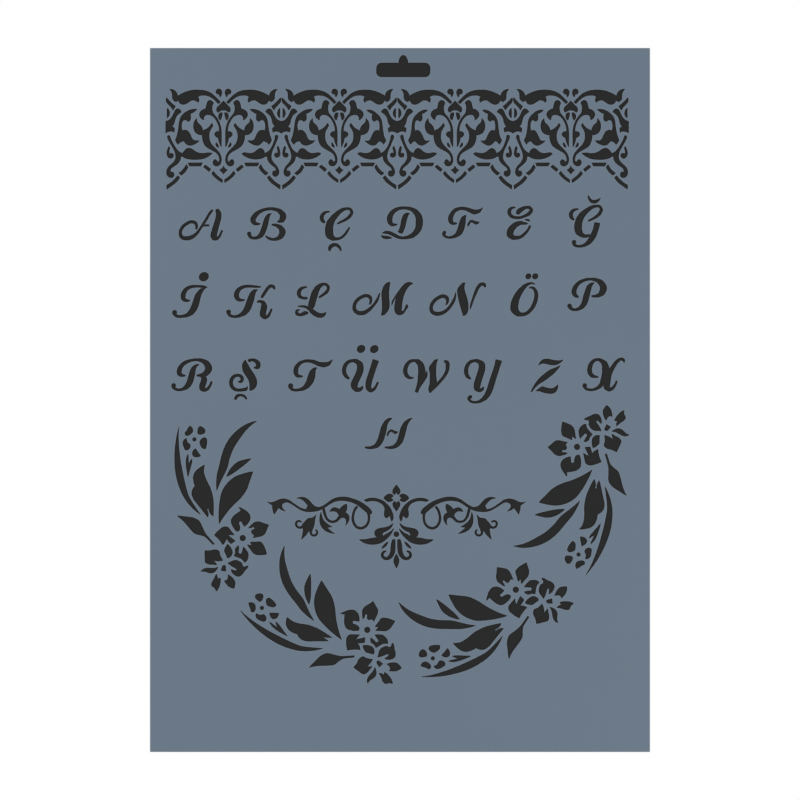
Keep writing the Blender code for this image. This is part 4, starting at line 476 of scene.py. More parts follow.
# Letters, each from its own left edge and baseline
LETTER_DRAWN_HEIGHT = 16.5
LETTERS = {
    "A": (
        Stroke((
            (9.05, 5.9, 1.0), (9.2, 7.3, 1.3), (8.5, 8.7, 1.6), (6.9, 9.25, 1.5), (4.2, 8.3, 1.5),
            (1.9, 6.2, 1.5), (1.05, 3.7, 1.5), (1.8, 1.6, 1.8), (4.0, 1.0, 2.0), (6.6, 1.5, 1.9),
            (9.2, 3.4, 1.4), (11.0, 5.8, 1.1), (12.4, 7.9, 1.2), (14.2, 10.8, 1.2), (16.0, 13.8, 1.2),
            (17.0, 15.0, 0.9)
        )),
        Stroke(((12.4, 7.45, 1.0), (15.1, 7.5, 0.9))),
        Stroke((
            (19.7, 14.7, 2.1), (20.2, 13.4, 2.6), (20.1, 11.2, 2.8), (19.2, 8.0, 2.8), (18.3, 4.8, 3.0),
            (17.8, 2.2, 3.2), (18.0, 1.55, 2.9)
        )),
        Stroke((
            (17.8, 0.9, 1.8), (19.2, 0.9, 1.7), (20.4, 1.7, 1.2), (21.2, 3.2, 0.95), (21.9, 4.7, 0.85)
        )),
    ),
    "B": (
        Stroke((
            (6.3, 8.25, 0.7), (5.0, 8.2, 1.3), (3.6, 8.7, 2.1), (2.9, 10.2, 2.6), (3.9, 12.3, 2.4),
            (5.9, 14.1, 1.8), (8.5, 15.3, 1.5), (11.5, 15.8, 1.4), (14.4, 15.4, 1.6), (16.7, 14.2, 2.4),
            (17.9, 12.2, 3.2), (17.3, 10.2, 2.8), (16.2, 9.5, 1.5), (15.2, 9.3, 0.6)
        )),
        Stroke((
            (11.9, 13.3, 0.5), (10.7, 12.5, 1.6), (9.8, 10.7, 2.4), (9.1, 8.2, 2.7), (8.2, 5.2, 2.7),
            (7.0, 2.8, 2.5), (5.3, 1.5, 1.7), (3.4, 1.1, 1.3), (1.9, 1.5, 1.4), (1.1, 2.6, 1.6),
            (1.0, 3.3, 2.0)
        )),
        Stroke((
            (12.6, 7.8, 0.9), (14.5, 7.5, 1.5), (16.5, 6.4, 2.3), (17.6, 4.4, 3.2), (16.9, 2.2, 2.7),
            (15.2, 0.9, 1.8), (13.2, 0.45, 1.3), (11.3, 0.8, 1.2), (10.0, 1.5, 1.0), (9.4, 2.1, 0.7)
        )),
    ),
    "Ç": (
        Stroke((
            (5.2, 14.3, 0.5), (3.8, 14.2, 1.0), (2.2, 13.3, 1.6), (1.3, 11.7, 1.9), (1.6, 10.0, 1.8),
            (2.4, 9.2, 1.3)
        )),
        Stroke((
            (9.3, 8.4, 0.7), (11.3, 9.4, 1.1), (13.6, 10.6, 1.3), (15.4, 12.2, 1.6), (16.3, 14.2, 1.4),
            (15.4, 15.6, 1.3), (13.6, 15.8, 1.3), (11.4, 15.1, 1.8), (9.0, 13.2, 2.4), (6.9, 10.9, 3.0),
            (5.4, 8.2, 3.7), (4.95, 5.2, 4.0), (5.3, 2.7, 3.9), (6.6, 1.2, 2.6), (8.6, 0.7, 1.4),
            (10.6, 1.1, 1.2), (12.3, 2.3, 1.2), (13.8, 4.2, 1.1), (15.0, 6.2, 0.8)
        )),
        Stroke((
            (5.2, -4.7, 1.3), (5.6, -3.4, 1.8), (6.9, -2.4, 1.8), (8.5, -2.3, 1.6), (9.9, -3.2, 1.4),
            (10.8, -4.9, 0.8)
        )),
    ),
    "D": (
        Stroke((
            (7.9, 8.0, 0.5), (6.9, 7.8, 1.1), (5.4, 7.9, 1.7), (4.4, 9.4, 2.5), (4.3, 11.2, 2.7),
            (5.2, 13.4, 2.3), (7.0, 15.1, 1.9), (9.3, 16.0, 1.5), (12.0, 16.2, 1.4), (15.0, 15.6, 1.8),
            (17.4, 14.0, 2.7), (18.9, 11.4, 3.3), (19.1, 8.8, 3.6), (18.7, 6.2, 3.2), (17.4, 4.0, 2.8),
            (15.6, 2.4, 2.3), (13.2, 1.5, 1.7), (10.9, 1.2, 1.3), (8.6, 1.6, 1.5), (6.4, 2.7, 1.7),
            (4.2, 3.7, 1.7), (2.3, 4.0, 1.4), (0.9, 3.7, 0.6)
        )),
        Outline((
            (0.0, 2.6, CORNER), (1.3, 2.3), (3.4, 2.1), (5.6, 1.2, CORNER), (4.0, 0.7), (2.0, 0.7),
            (0.5, 1.3)
        )),
        Outline((
            (14.3, 13.6, CORNER), (13.0, 13.75), (11.7, 13.3), (10.7, 12.0), (10.1, 10.0), (9.7, 7.8),
            (9.2, 6.0), (8.3, 4.3, CORNER), (9.4, 3.6), (10.6, 3.4, CORNER), (11.6, 5.6), (12.3, 7.8),
            (12.8, 10.2), (13.4, 12.0)
        )),
    ),
    "F": (
        Stroke((
            (6.9, 8.5, 0.9), (5.6, 8.4, 1.4), (4.5, 9.2, 2.1), (4.2, 10.9, 2.4), (4.9, 13.0, 2.1),
            (6.4, 14.9, 1.8), (8.8, 15.9, 1.5), (11.5, 15.8, 1.6), (13.8, 15.0, 2.0), (16.2, 14.2, 2.4),
            (18.3, 14.6, 1.8), (19.5, 15.5, 0.8), (20.3, 16.4, 0.15)
        )),
        Stroke((
            (11.5, 12.1, 1.1), (10.7, 10.8, 2.5), (10.1, 8.6, 3.1), (9.5, 6.2, 3.2), (8.5, 3.9, 2.9),
            (6.9, 2.4, 1.9), (5.0, 1.6, 1.3), (3.2, 1.4, 1.1), (1.6, 2.0, 1.2), (0.8, 3.2, 1.4),
            (1.2, 3.9, 1.6)
        )),
        Stroke((
            (13.0, 7.4, 0.8), (13.5, 8.6, 1.0), (14.6, 9.6, 1.1), (16.0, 9.1, 1.3), (17.2, 8.7, 1.6),
            (18.3, 9.1, 0.6)
        )),
    ),
    "E": (
        Stroke((
            (4.4, 16.4, 0.6), (3.0, 16.2, 1.2), (1.8, 15.2, 1.7), (1.6, 13.7, 1.8), (2.6, 12.1, 1.6),
            (4.6, 11.4, 1.4), (7.0, 11.4, 1.2), (9.6, 12.3, 1.4), (11.7, 13.6, 1.7), (12.6, 15.1, 1.6),
            (11.8, 16.3, 1.5), (10.3, 16.5, 1.4), (8.3, 15.8, 1.9), (6.7, 14.8, 2.4), (6.0, 13.9, 2.1)
        )),
        Stroke(((9.6, 10.3, 0.5), (10.6, 10.2, 0.9), (11.5, 9.9, 0.9))),
        Stroke((
            (10.3, 8.4, 0.9), (8.9, 8.5, 1.3), (7.3, 8.7, 1.9), (5.4, 8.1, 2.5), (3.5, 6.7, 2.9),
            (2.2, 4.7, 3.3), (2.0, 2.9, 3.3), (3.2, 1.6, 2.4), (5.2, 1.3, 1.8), (7.4, 1.8, 1.5),
            (9.2, 3.2, 1.3), (10.8, 5.0, 1.2), (11.9, 7.0, 1.0)
        )),
    ),
    "Ğ": (
        Outline((
            (10.0, 22.9, CORNER), (10.0, 21.0), (10.8, 19.4), (12.2, 18.5), (14.0, 18.6), (15.4, 19.6),
            (16.3, 21.5, CORNER), (15.2, 20.7), (13.4, 20.2), (11.8, 20.4), (10.8, 21.6)
        )),
        Stroke((
            (5.0, 15.6, 0.6), (3.6, 15.4, 1.1), (2.2, 14.6, 1.6), (1.4, 13.1, 1.9), (1.7, 11.5, 1.7),
            (2.6, 10.5, 1.1)
        )),
        Stroke((
            (10.3, 9.8, 0.8), (12.2, 10.7, 1.1), (14.2, 11.9, 1.4), (15.9, 13.6, 1.6), (16.6, 15.4, 1.5),
            (15.8, 16.9, 1.3), (14.0, 17.1, 1.3), (11.8, 16.5, 1.7), (9.3, 14.8, 2.3), (7.0, 12.6, 3.1),
            (5.5, 9.8, 3.6), (5.0, 6.8, 3.8), (5.5, 4.2, 3.6), (7.0, 2.6, 2.3), (8.8, 2.1, 1.5),
            (10.4, 2.4, 1.3)
        )),
        Stroke((
            (14.6, 8.8, 2.9, FLAT), (13.8, 5.4, 2.7), (12.5, 2.2, 2.9), (10.8, -0.4, 2.5),
            (8.8, -2.1, 1.7), (6.6, -2.9, 1.3), (4.6, -2.9, 1.2), (3.0, -2.0, 1.4), (3.0, -0.9, 2.1)
        )),
    ),
    "İ": (
        Dot(15.9, 19.8, 2.5, 2.2, 30.0),
        Stroke((
            (8.6, 7.9, 0.8), (7.2, 7.9, 1.4), (5.8, 8.7, 2.1), (5.6, 10.4, 2.4), (6.3, 12.5, 2.1),
            (7.9, 14.1, 1.7), (10.1, 14.9, 1.4), (13.0, 15.0, 1.1), (15.4, 14.9, 1.2), (17.4, 14.6, 0.5)
        )),
        Stroke((
            (17.2, 14.6, 0.5), (15.8, 13.9, 1.3), (14.2, 12.3, 2.2), (12.9, 10.0, 3.0), (12.1, 7.2, 3.3),
            (11.1, 4.4, 3.3), (9.7, 2.2, 2.9), (7.8, 0.7, 2.0), (5.6, 0.1, 1.4), (3.6, -0.1, 1.3),
            (1.9, 0.5, 1.5), (1.3, 1.9, 2.4)
        )),
    ),
    "K": (
        Stroke((
            (9.0, 8.2, 0.7), (7.8, 8.1, 1.2), (6.1, 8.6, 2.0), (5.2, 10.4, 2.5), (5.8, 12.6, 2.2),
            (7.5, 14.2, 1.7), (10.0, 15.0, 1.4), (13.0, 15.0, 1.2), (15.6, 14.75, 1.0), (17.3, 14.7, 0.5)
        )),
        Stroke((
            (15.6, 13.1, 0.6), (14.2, 12.5, 1.9), (13.2, 11.0, 2.8), (12.5, 9.0, 3.2), (11.7, 6.6, 3.4),
            (10.8, 4.2, 3.3), (9.2, 1.9, 2.7), (7.2, 0.6, 1.8), (5.0, -0.1, 1.3), (3.0, 0.0, 1.3),
            (1.5, 1.0, 1.5), (1.3, 2.2, 2.3)
        )),
        Stroke((
            (18.0, 9.7, 1.3), (19.5, 12.0, 1.5), (21.0, 14.2, 1.5), (22.6, 15.2, 1.5), (23.8, 14.7, 1.4),
            (24.1, 14.0, 1.1)
        )),
        Stroke((
            (16.0, 7.3, 1.1), (17.4, 7.4, 1.3), (18.6, 6.6, 2.2), (19.0, 4.9, 3.0), (18.6, 2.6, 3.0),
            (18.5, 0.8, 3.1), (19.4, -0.4, 2.0), (20.8, 0.0, 1.5), (21.9, 1.6, 1.1), (22.7, 3.4, 0.9)
        )),
    ),
    "L": (
        Stroke((
            (5.8, 14.6, 0.6), (4.4, 14.4, 1.1), (2.7, 13.5, 1.7), (1.9, 11.9, 1.9), (2.3, 10.1, 1.7),
            (3.8, 9.2, 1.3), (5.7, 9.1, 1.2)
        )),
        Stroke((
            (12.2, 9.6, 0.9), (13.9, 10.7, 1.2), (15.6, 12.0, 1.5), (16.6, 13.9, 1.4), (16.1, 15.5, 1.3),
            (14.5, 16.1, 1.3), (12.6, 15.4, 2.0), (10.8, 13.4, 2.9), (9.7, 10.9, 3.4), (8.9, 8.2, 3.4),
            (8.2, 5.6, 3.3), (7.7, 4.2, 2.6)
        )),
        Stroke((
            (1.5, 4.9, 0.4), (3.4, 5.0, 1.0), (5.4, 4.7, 1.2), (7.2, 3.7, 1.8), (8.9, 2.2, 2.4),
            (10.8, 0.9, 2.4), (12.7, 0.4, 2.3), (14.2, 0.8, 1.8), (15.4, 1.9, 0.5)
        )),
        Stroke((
            (2.0, 3.2, 0.7), (0.9, 2.6, 1.3), (0.9, 1.4, 1.5), (2.2, 0.8, 1.4), (3.7, 1.0, 1.6),
            (4.9, 1.6, 2.0), (5.9, 1.7, 1.4)
        )),
    ),
    "M": (
        Stroke((
            (8.9, 6.3, 0.9), (9.4, 7.9, 1.2), (8.9, 9.6, 1.6), (7.2, 10.3, 1.6), (4.8, 9.7, 1.6),
            (2.4, 7.9, 1.6), (1.1, 5.4, 1.6), (1.4, 3.0, 1.8), (3.2, 1.7, 2.0), (5.6, 1.7, 2.0),
            (8.2, 3.1, 1.7), (10.6, 5.4, 1.3), (12.3, 7.8, 1.3), (13.3, 10.0, 0.9), (13.9, 11.7, 0.3)
        )),
        Outline((
            (19.1, 17.2, CORNER), (17.6, 16.9), (15.8, 15.0), (14.8, 12.0), (14.9, 8.0), (15.0, 4.0),
            (14.5, 0.4, CORNER), (15.8, 0.6), (17.4, 2.0), (18.4, 3.6), (18.7, 6.5), (18.4, 10.5),
            (18.6, 14.0)
        )),
        Outline((
            (30.6, 16.3, CORNER), (29.2, 17.1), (27.2, 16.8), (25.1, 15.1), (22.9, 12.2), (20.8, 9.0),
            (19.8, 7.0), (19.8, 5.2, CORNER), (20.7, 7.3), (22.0, 9.9, CORNER), (21.4, 6.5), (21.2, 3.2),
            (22.1, 1.2), (23.8, 0.6), (25.5, 1.2), (26.9, 3.0), (27.8, 5.6), (27.3, 6.0), (26.8, 5.4),
            (26.2, 3.8), (25.2, 2.7), (24.9, 4.5), (25.2, 7.5), (26.1, 11.0), (27.7, 14.0), (29.0, 15.5)
        )),
    ),
    "N": (
        Stroke((
            (8.6, 6.0, 0.8), (9.2, 7.5, 1.3), (8.8, 9.3, 1.7), (7.0, 10.1, 1.7), (4.6, 9.3, 1.6),
            (2.2, 7.3, 1.6), (1.0, 4.7, 1.6), (1.5, 2.3, 1.8), (3.4, 1.3, 1.9), (5.9, 1.5, 1.8),
            (8.6, 2.9, 1.5), (10.6, 5.1, 1.4), (12.2, 7.7, 1.4), (13.0, 9.8, 0.9), (13.2, 11.7, 0.4)
        )),
        Outline((
            (18.2, 16.8, CORNER), (17.0, 16.8), (15.6, 15.6), (14.2, 13.6), (14.3, 10.5), (15.0, 7.0),
            (16.0, 3.5), (17.0, 0.2, CORNER), (18.2, 0.6), (19.2, 2.0), (19.6, 5.5), (19.0, 9.0),
            (17.9, 12.5), (17.6, 15.0)
        )),
        Stroke((
            (20.6, 3.9, 0.5), (21.1, 6.0, 1.0), (22.0, 8.7, 1.1), (23.3, 12.0, 1.4), (24.6, 14.7, 1.6),
            (26.2, 16.1, 1.6), (27.6, 15.8, 1.6), (27.9, 15.0, 1.0)
        )),
    ),
    "Ö": (
        Dot(9.1, 20.0, 1.5, 1.35, 40.0),
        Dot(12.5, 20.0, 1.55, 1.4, 40.0),
        Stroke((
            (12.2, 16.1, 0.5), (10.6, 16.6, 0.9), (8.7, 16.0, 1.4), (6.7, 14.5, 2.1), (4.9, 12.3, 2.8),
            (3.3, 9.6, 3.3), (2.3, 6.5, 3.7), (2.2, 3.5, 3.9), (3.6, 1.6, 2.9), (5.8, 0.9, 1.8),
            (8.2, 1.5, 1.6), (10.2, 3.2, 1.7), (11.9, 5.8, 1.9), (12.9, 8.9, 1.9), (13.0, 11.5, 1.8),
            (12.3, 13.4, 1.5), (11.1, 14.3, 1.2), (9.8, 14.3, 0.7)
        )),
    ),
    "P": (
        Stroke((
            (5.2, 9.9, 1.2), (4.1, 10.5, 1.9), (3.4, 12.0, 2.4), (3.9, 14.2, 2.2), (5.5, 16.4, 1.8),
            (8.0, 17.9, 1.5), (11.2, 18.6, 1.2), (14.4, 18.2, 1.7), (16.9, 16.7, 2.8), (18.1, 14.3, 3.4),
            (17.4, 11.9, 3.0), (15.7, 10.5, 1.9), (14.0, 10.1, 1.3), (12.6, 10.1, 1.0)
        )),
        Stroke((
            (13.2, 16.7, 0.6), (12.0, 15.9, 1.7), (11.0, 14.6, 2.5), (10.2, 12.2, 2.8), (9.5, 9.8, 3.0),
            (8.8, 7.2, 2.8), (7.6, 5.1, 2.4), (5.8, 3.8, 1.6), (3.9, 3.3, 1.3), (2.1, 3.8, 1.5),
            (1.2, 5.2, 2.2)
        )),
    ),
    "R": (
        Stroke((
            (6.8, 7.9, 0.9), (5.4, 8.0, 1.6), (4.2, 8.9, 2.3), (4.2, 10.6, 2.4), (5.3, 12.8, 2.0),
            (7.4, 14.5, 1.7), (10.2, 15.5, 1.3), (13.0, 15.8, 1.3), (15.8, 15.2, 2.0), (18.0, 13.6, 3.0),
            (18.8, 11.4, 3.5), (17.6, 9.2, 2.9), (15.8, 8.2, 2.0), (14.4, 8.0, 1.4), (13.3, 7.9, 1.0)
        )),
        Stroke((
            (15.3, 7.8, 1.8), (16.5, 6.4, 2.8), (16.3, 4.6, 3.0), (15.7, 2.9, 3.0), (15.7, 1.6, 3.0),
            (16.6, 0.8, 2.0), (18.0, 1.0, 1.5), (19.2, 2.4, 1.2), (20.2, 4.5, 1.1)
        )),
        Stroke((
            (13.7, 13.3, 0.6), (12.3, 12.6, 1.5), (11.3, 11.3, 2.3), (10.7, 9.4, 2.9), (10.1, 7.0, 3.0),
            (9.2, 4.3, 3.0), (7.8, 2.3, 2.4), (5.9, 1.1, 1.5), (3.9, 0.7, 1.2), (2.3, 1.1, 1.3),
            (1.3, 2.1, 1.7), (1.3, 2.9, 2.2)
        )),
    ),
    "Ş": (
        Outline((
            (8.3, 15.8, CORNER), (6.8, 14.0), (6.6, 11.9), (7.2, 9.6), (8.6, 7.5), (9.9, 5.2), (10.3, 2.7),
            (10.2, 0.3, CORNER), (12.4, 1.0), (13.8, 3.0), (13.9, 5.5), (12.9, 8.0), (11.2, 10.6),
            (9.6, 13.2)
        )),
        Stroke((
            (10.2, 15.4, 1.5), (11.6, 15.7, 1.3), (13.3, 15.2, 1.8), (14.5, 13.8, 2.3), (14.4, 12.3, 2.2),
            (13.3, 11.8, 1.3), (12.8, 11.9, 0.8)
        )),
        Stroke((
            (4.9, 4.8, 0.8), (6.0, 4.9, 1.4), (6.6, 6.2, 1.6), (5.8, 7.6, 1.5), (4.2, 8.0, 1.4),
            (2.3, 7.3, 1.6), (1.1, 5.3, 1.8), (1.2, 3.0, 1.8), (2.6, 1.2, 1.6), (4.8, 0.6, 1.4),
            (7.0, 0.8, 1.5), (8.4, 1.1, 1.6), (9.2, 2.2, 0.5)
        )),
        Stroke(((3.3, -3.6, 1.3), (4.2, -2.3, 1.5), (5.8, -1.9, 1.2), (7.4, -2.3, 1.2), (8.6, -3.6, 0.9))),
    ),
    "T": (
        Stroke((
            (7.0, 7.5, 0.8), (5.9, 7.5, 1.2), (4.5, 8.0, 1.8), (3.9, 9.6, 2.3), (4.1, 11.6, 2.2),
            (5.4, 13.6, 1.8), (7.6, 14.9, 1.4), (10.5, 15.2, 1.5), (13.2, 14.6, 1.9), (15.6, 13.6, 2.2),
            (18.0, 13.3, 2.5), (20.2, 13.8, 1.9), (21.4, 14.9, 0.9), (22.3, 15.9, 0.15)
        )),
        Stroke((
            (14.2, 11.7, 0.6), (13.2, 11.0, 1.7), (12.4, 9.7, 2.9), (11.8, 7.6, 3.6), (11.0, 5.2, 3.5),
            (9.6, 3.0, 2.8), (7.6, 1.4, 1.9), (5.4, 0.75, 1.3), (3.3, 0.6, 1.2), (1.7, 1.3, 1.5),
            (1.3, 2.7, 2.5)
        )),
    ),
    "Ü": (
        Dot(9.5, 21.2, 2.15, 1.85, 35.0),
        Dot(16.1, 21.1, 2.15, 1.85, 35.0),
        Stroke((
            (3.2, 6.6, 1.2), (2.0, 7.6, 1.8), (1.0, 10.0, 2.0), (1.5, 12.7, 1.9), (3.0, 14.6, 1.6),
            (5.2, 15.3, 1.5), (7.4, 14.9, 2.2), (8.9, 13.3, 3.1), (9.1, 11.1, 3.3), (8.2, 8.2, 3.3),
            (6.9, 5.5, 3.3), (6.1, 2.9, 3.4), (6.9, 1.2, 2.6), (8.5, 0.8, 2.0), (9.9, 1.7, 1.4),
            (10.3, 2.5, 0.6)
        )),
        Stroke((
            (16.9, 15.6, 3.2, FLAT), (15.7, 12.0, 2.9), (14.4, 8.0, 2.9), (13.3, 4.0, 3.0),
            (13.3, 1.6, 2.6), (14.4, 0.5, 2.0), (15.7, 0.9, 1.5), (16.9, 2.4, 1.1), (17.8, 4.3, 0.9)
        )),
    ),
    "W": (
        Stroke((
            (5.0, 6.8, 0.6), (3.6, 6.7, 1.2), (1.9, 7.8, 1.9), (1.1, 10.0, 2.1), (1.6, 12.6, 1.9),
            (3.2, 14.7, 1.6), (5.6, 15.4, 1.3), (7.6, 14.9, 1.7)
        )),
        Outline((
            (6.6, 15.9), (8.8, 15.3), (10.3, 13.6), (11.0, 11.2), (11.3, 8.9, CORNER),
            (11.9, 10.4, CORNER), (12.2, 7.9), (11.0, 5.5), (9.4, 3.2), (8.0, 1.0), (7.0, -0.7),
            (6.2, -0.3), (6.5, 1.6), (7.1, 4.0), (7.5, 7.5), (7.6, 11.0), (7.2, 13.2), (6.2, 14.6)
        )),
        Outline((
            (17.5, 16.0, CORNER), (16.0, 15.8), (14.4, 14.0), (13.1, 12.2), (13.4, 8.5), (13.3, 4.0),
            (12.9, 0.0), (13.5, -0.8), (14.3, -0.2), (16.6, 2.4, CORNER), (17.0, 4.4, CORNER), (16.6, 7.0),
            (16.5, 10.5), (16.8, 14.0)
        )),
        Stroke((
            (14.6, 0.9, 1.2), (16.5, 2.9, 1.5), (18.5, 5.0, 1.4), (20.4, 7.3, 1.4), (21.9, 10.0, 1.6),
            (22.3, 12.4, 1.9), (21.9, 14.5, 1.9), (21.0, 15.0, 1.2)
        )),
    ),
    "Y": (
        Stroke((
            (2.9, 6.5, 1.1), (1.7, 7.6, 1.8), (1.0, 9.8, 2.0), (1.4, 12.3, 1.9), (2.8, 14.4, 1.6),
            (5.0, 15.3, 1.4), (7.3, 14.9, 2.0), (8.8, 13.4, 3.1), (8.9, 11.2, 3.3), (8.2, 8.8, 3.3),
            (7.3, 6.0, 3.3), (6.6, 3.3, 3.4), (6.6, 1.5, 3.1), (7.6, 0.6, 2.0), (8.9, 0.9, 1.5),
            (9.6, 1.9, 0.8)
        )),
        Stroke((
            (17.4, 15.6, 3.2, FLAT), (16.4, 12.0, 2.8), (15.1, 8.0, 2.9), (13.8, 4.0, 3.0),
            (12.5, 0.0, 2.9), (10.8, -2.8, 2.4), (8.7, -4.6, 1.7), (6.5, -5.4, 1.2), (4.5, -5.4, 1.1),
            (2.8, -4.5, 1.2), (2.4, -3.2, 1.3), (3.2, -2.8, 1.7)
        )),
    ),
    "Z": (
        Outline((
            (4.0, 12.8, CORNER), (4.9, 14.5), (6.4, 15.9), (9.0, 16.2), (12.0, 15.6), (14.6, 15.4),
            (16.6, 15.9, CORNER), (15.2, 14.3), (13.2, 13.3), (11.0, 13.1), (8.4, 13.6), (6.2, 13.9)
        )),
        Outline((
            (15.3, 13.1, CORNER), (13.2, 12.1), (10.6, 11.1), (7.4, 9.0), (4.0, 5.9), (2.0, 3.1),
            (0.2, -0.4, CORNER), (1.1, -0.1, CORNER), (3.6, 2.9), (7.2, 5.3), (11.0, 8.1), (13.6, 10.7)
        )),
        Outline((
            (2.7, 0.1, CORNER), (4.6, 1.6), (6.0, 2.4), (8.3, 1.8), (11.4, 1.6), (12.9, 2.5),
            (13.9, 3.5, CORNER), (13.8, 1.5), (12.9, -0.2), (11.2, -1.1), (8.8, -1.1), (6.3, -0.5),
            (4.4, 0.1)
        )),
    ),
    "X": (
        Stroke((
            (7.7, 7.2, 0.8), (6.6, 7.3, 1.2), (4.8, 8.0, 2.0), (3.8, 9.9, 2.3), (4.0, 12.4, 2.2),
            (5.4, 14.9, 1.7), (7.6, 15.9, 1.3), (9.6, 15.3, 1.9), (11.2, 13.7, 3.0), (11.8, 11.2, 3.6),
            (11.5, 8.5, 3.2), (10.6, 5.5, 2.8), (9.5, 3.2, 2.0), (7.6, 1.6, 1.5), (5.4, 0.8, 1.2),
            (3.4, 0.8, 1.2), (1.7, 1.6, 1.4), (1.3, 2.9, 2.2)
        )),
        Stroke((
            (21.0, 14.9, 0.9), (20.6, 15.8, 1.4), (19.3, 16.1, 1.4), (17.5, 14.9, 1.7), (15.8, 12.7, 1.9),
            (14.2, 10.0, 2.3), (13.0, 7.0, 3.0), (12.5, 4.4, 3.3), (12.4, 2.2, 3.2), (13.3, 1.1, 2.2),
            (14.8, 1.3, 1.6), (16.1, 2.6, 1.2), (17.2, 4.9, 0.9)
        )),
    ),
    "H": (
        Stroke((
            (13.7, 15.3, 0.6), (12.2, 14.6, 1.5), (10.9, 13.1, 2.2), (9.8, 10.2, 3.0), (9.0, 7.0, 3.0),
            (8.0, 4.2, 2.9), (6.4, 1.9, 2.4), (4.4, 0.9, 1.6), (2.4, 0.6, 1.2), (0.7, 0.8, 0.8)
        )),
        Stroke((
            (24.0, 15.4, 0.3), (22.3, 14.4, 1.4), (20.7, 12.5, 2.3), (19.6, 9.8, 3.0), (18.8, 6.8, 3.0),
            (17.9, 4.1, 2.8), (16.2, 1.9, 2.2), (14.3, 0.9, 1.6), (12.4, 0.7, 1.2), (10.7, 0.8, 0.8)
        )),
        Stroke((
            (11.7, 6.8, 0.7), (12.2, 8.2, 1.0), (13.4, 9.2, 1.1), (14.7, 8.7, 1.2), (15.7, 8.2, 1.4),
            (16.5, 8.5, 0.7)
        )),
    ),
}

# Rows of letters, with each letter's start along its row in drawing units
ROWS = (
    (("A", 0.0), ("B", 34.5), ("Ç", 70.5), ("D", 101.5), ("F", 132.0),
     ("E", 164.0), ("Ğ", 195.0)),
    (("İ", 0.0), ("K", 27.0), ("L", 61.5), ("M", 90.0), ("N", 128.5),
     ("Ö", 169.0), ("P", 197.5)),
    (("R", 0.0), ("Ş", 29.0), ("T", 58.5), ("Ü", 85.5), ("W", 116.0),
     ("Y", 146.5), ("Z", 179.5), ("X", 205.5)),
)
LAST_LETTER = "H"

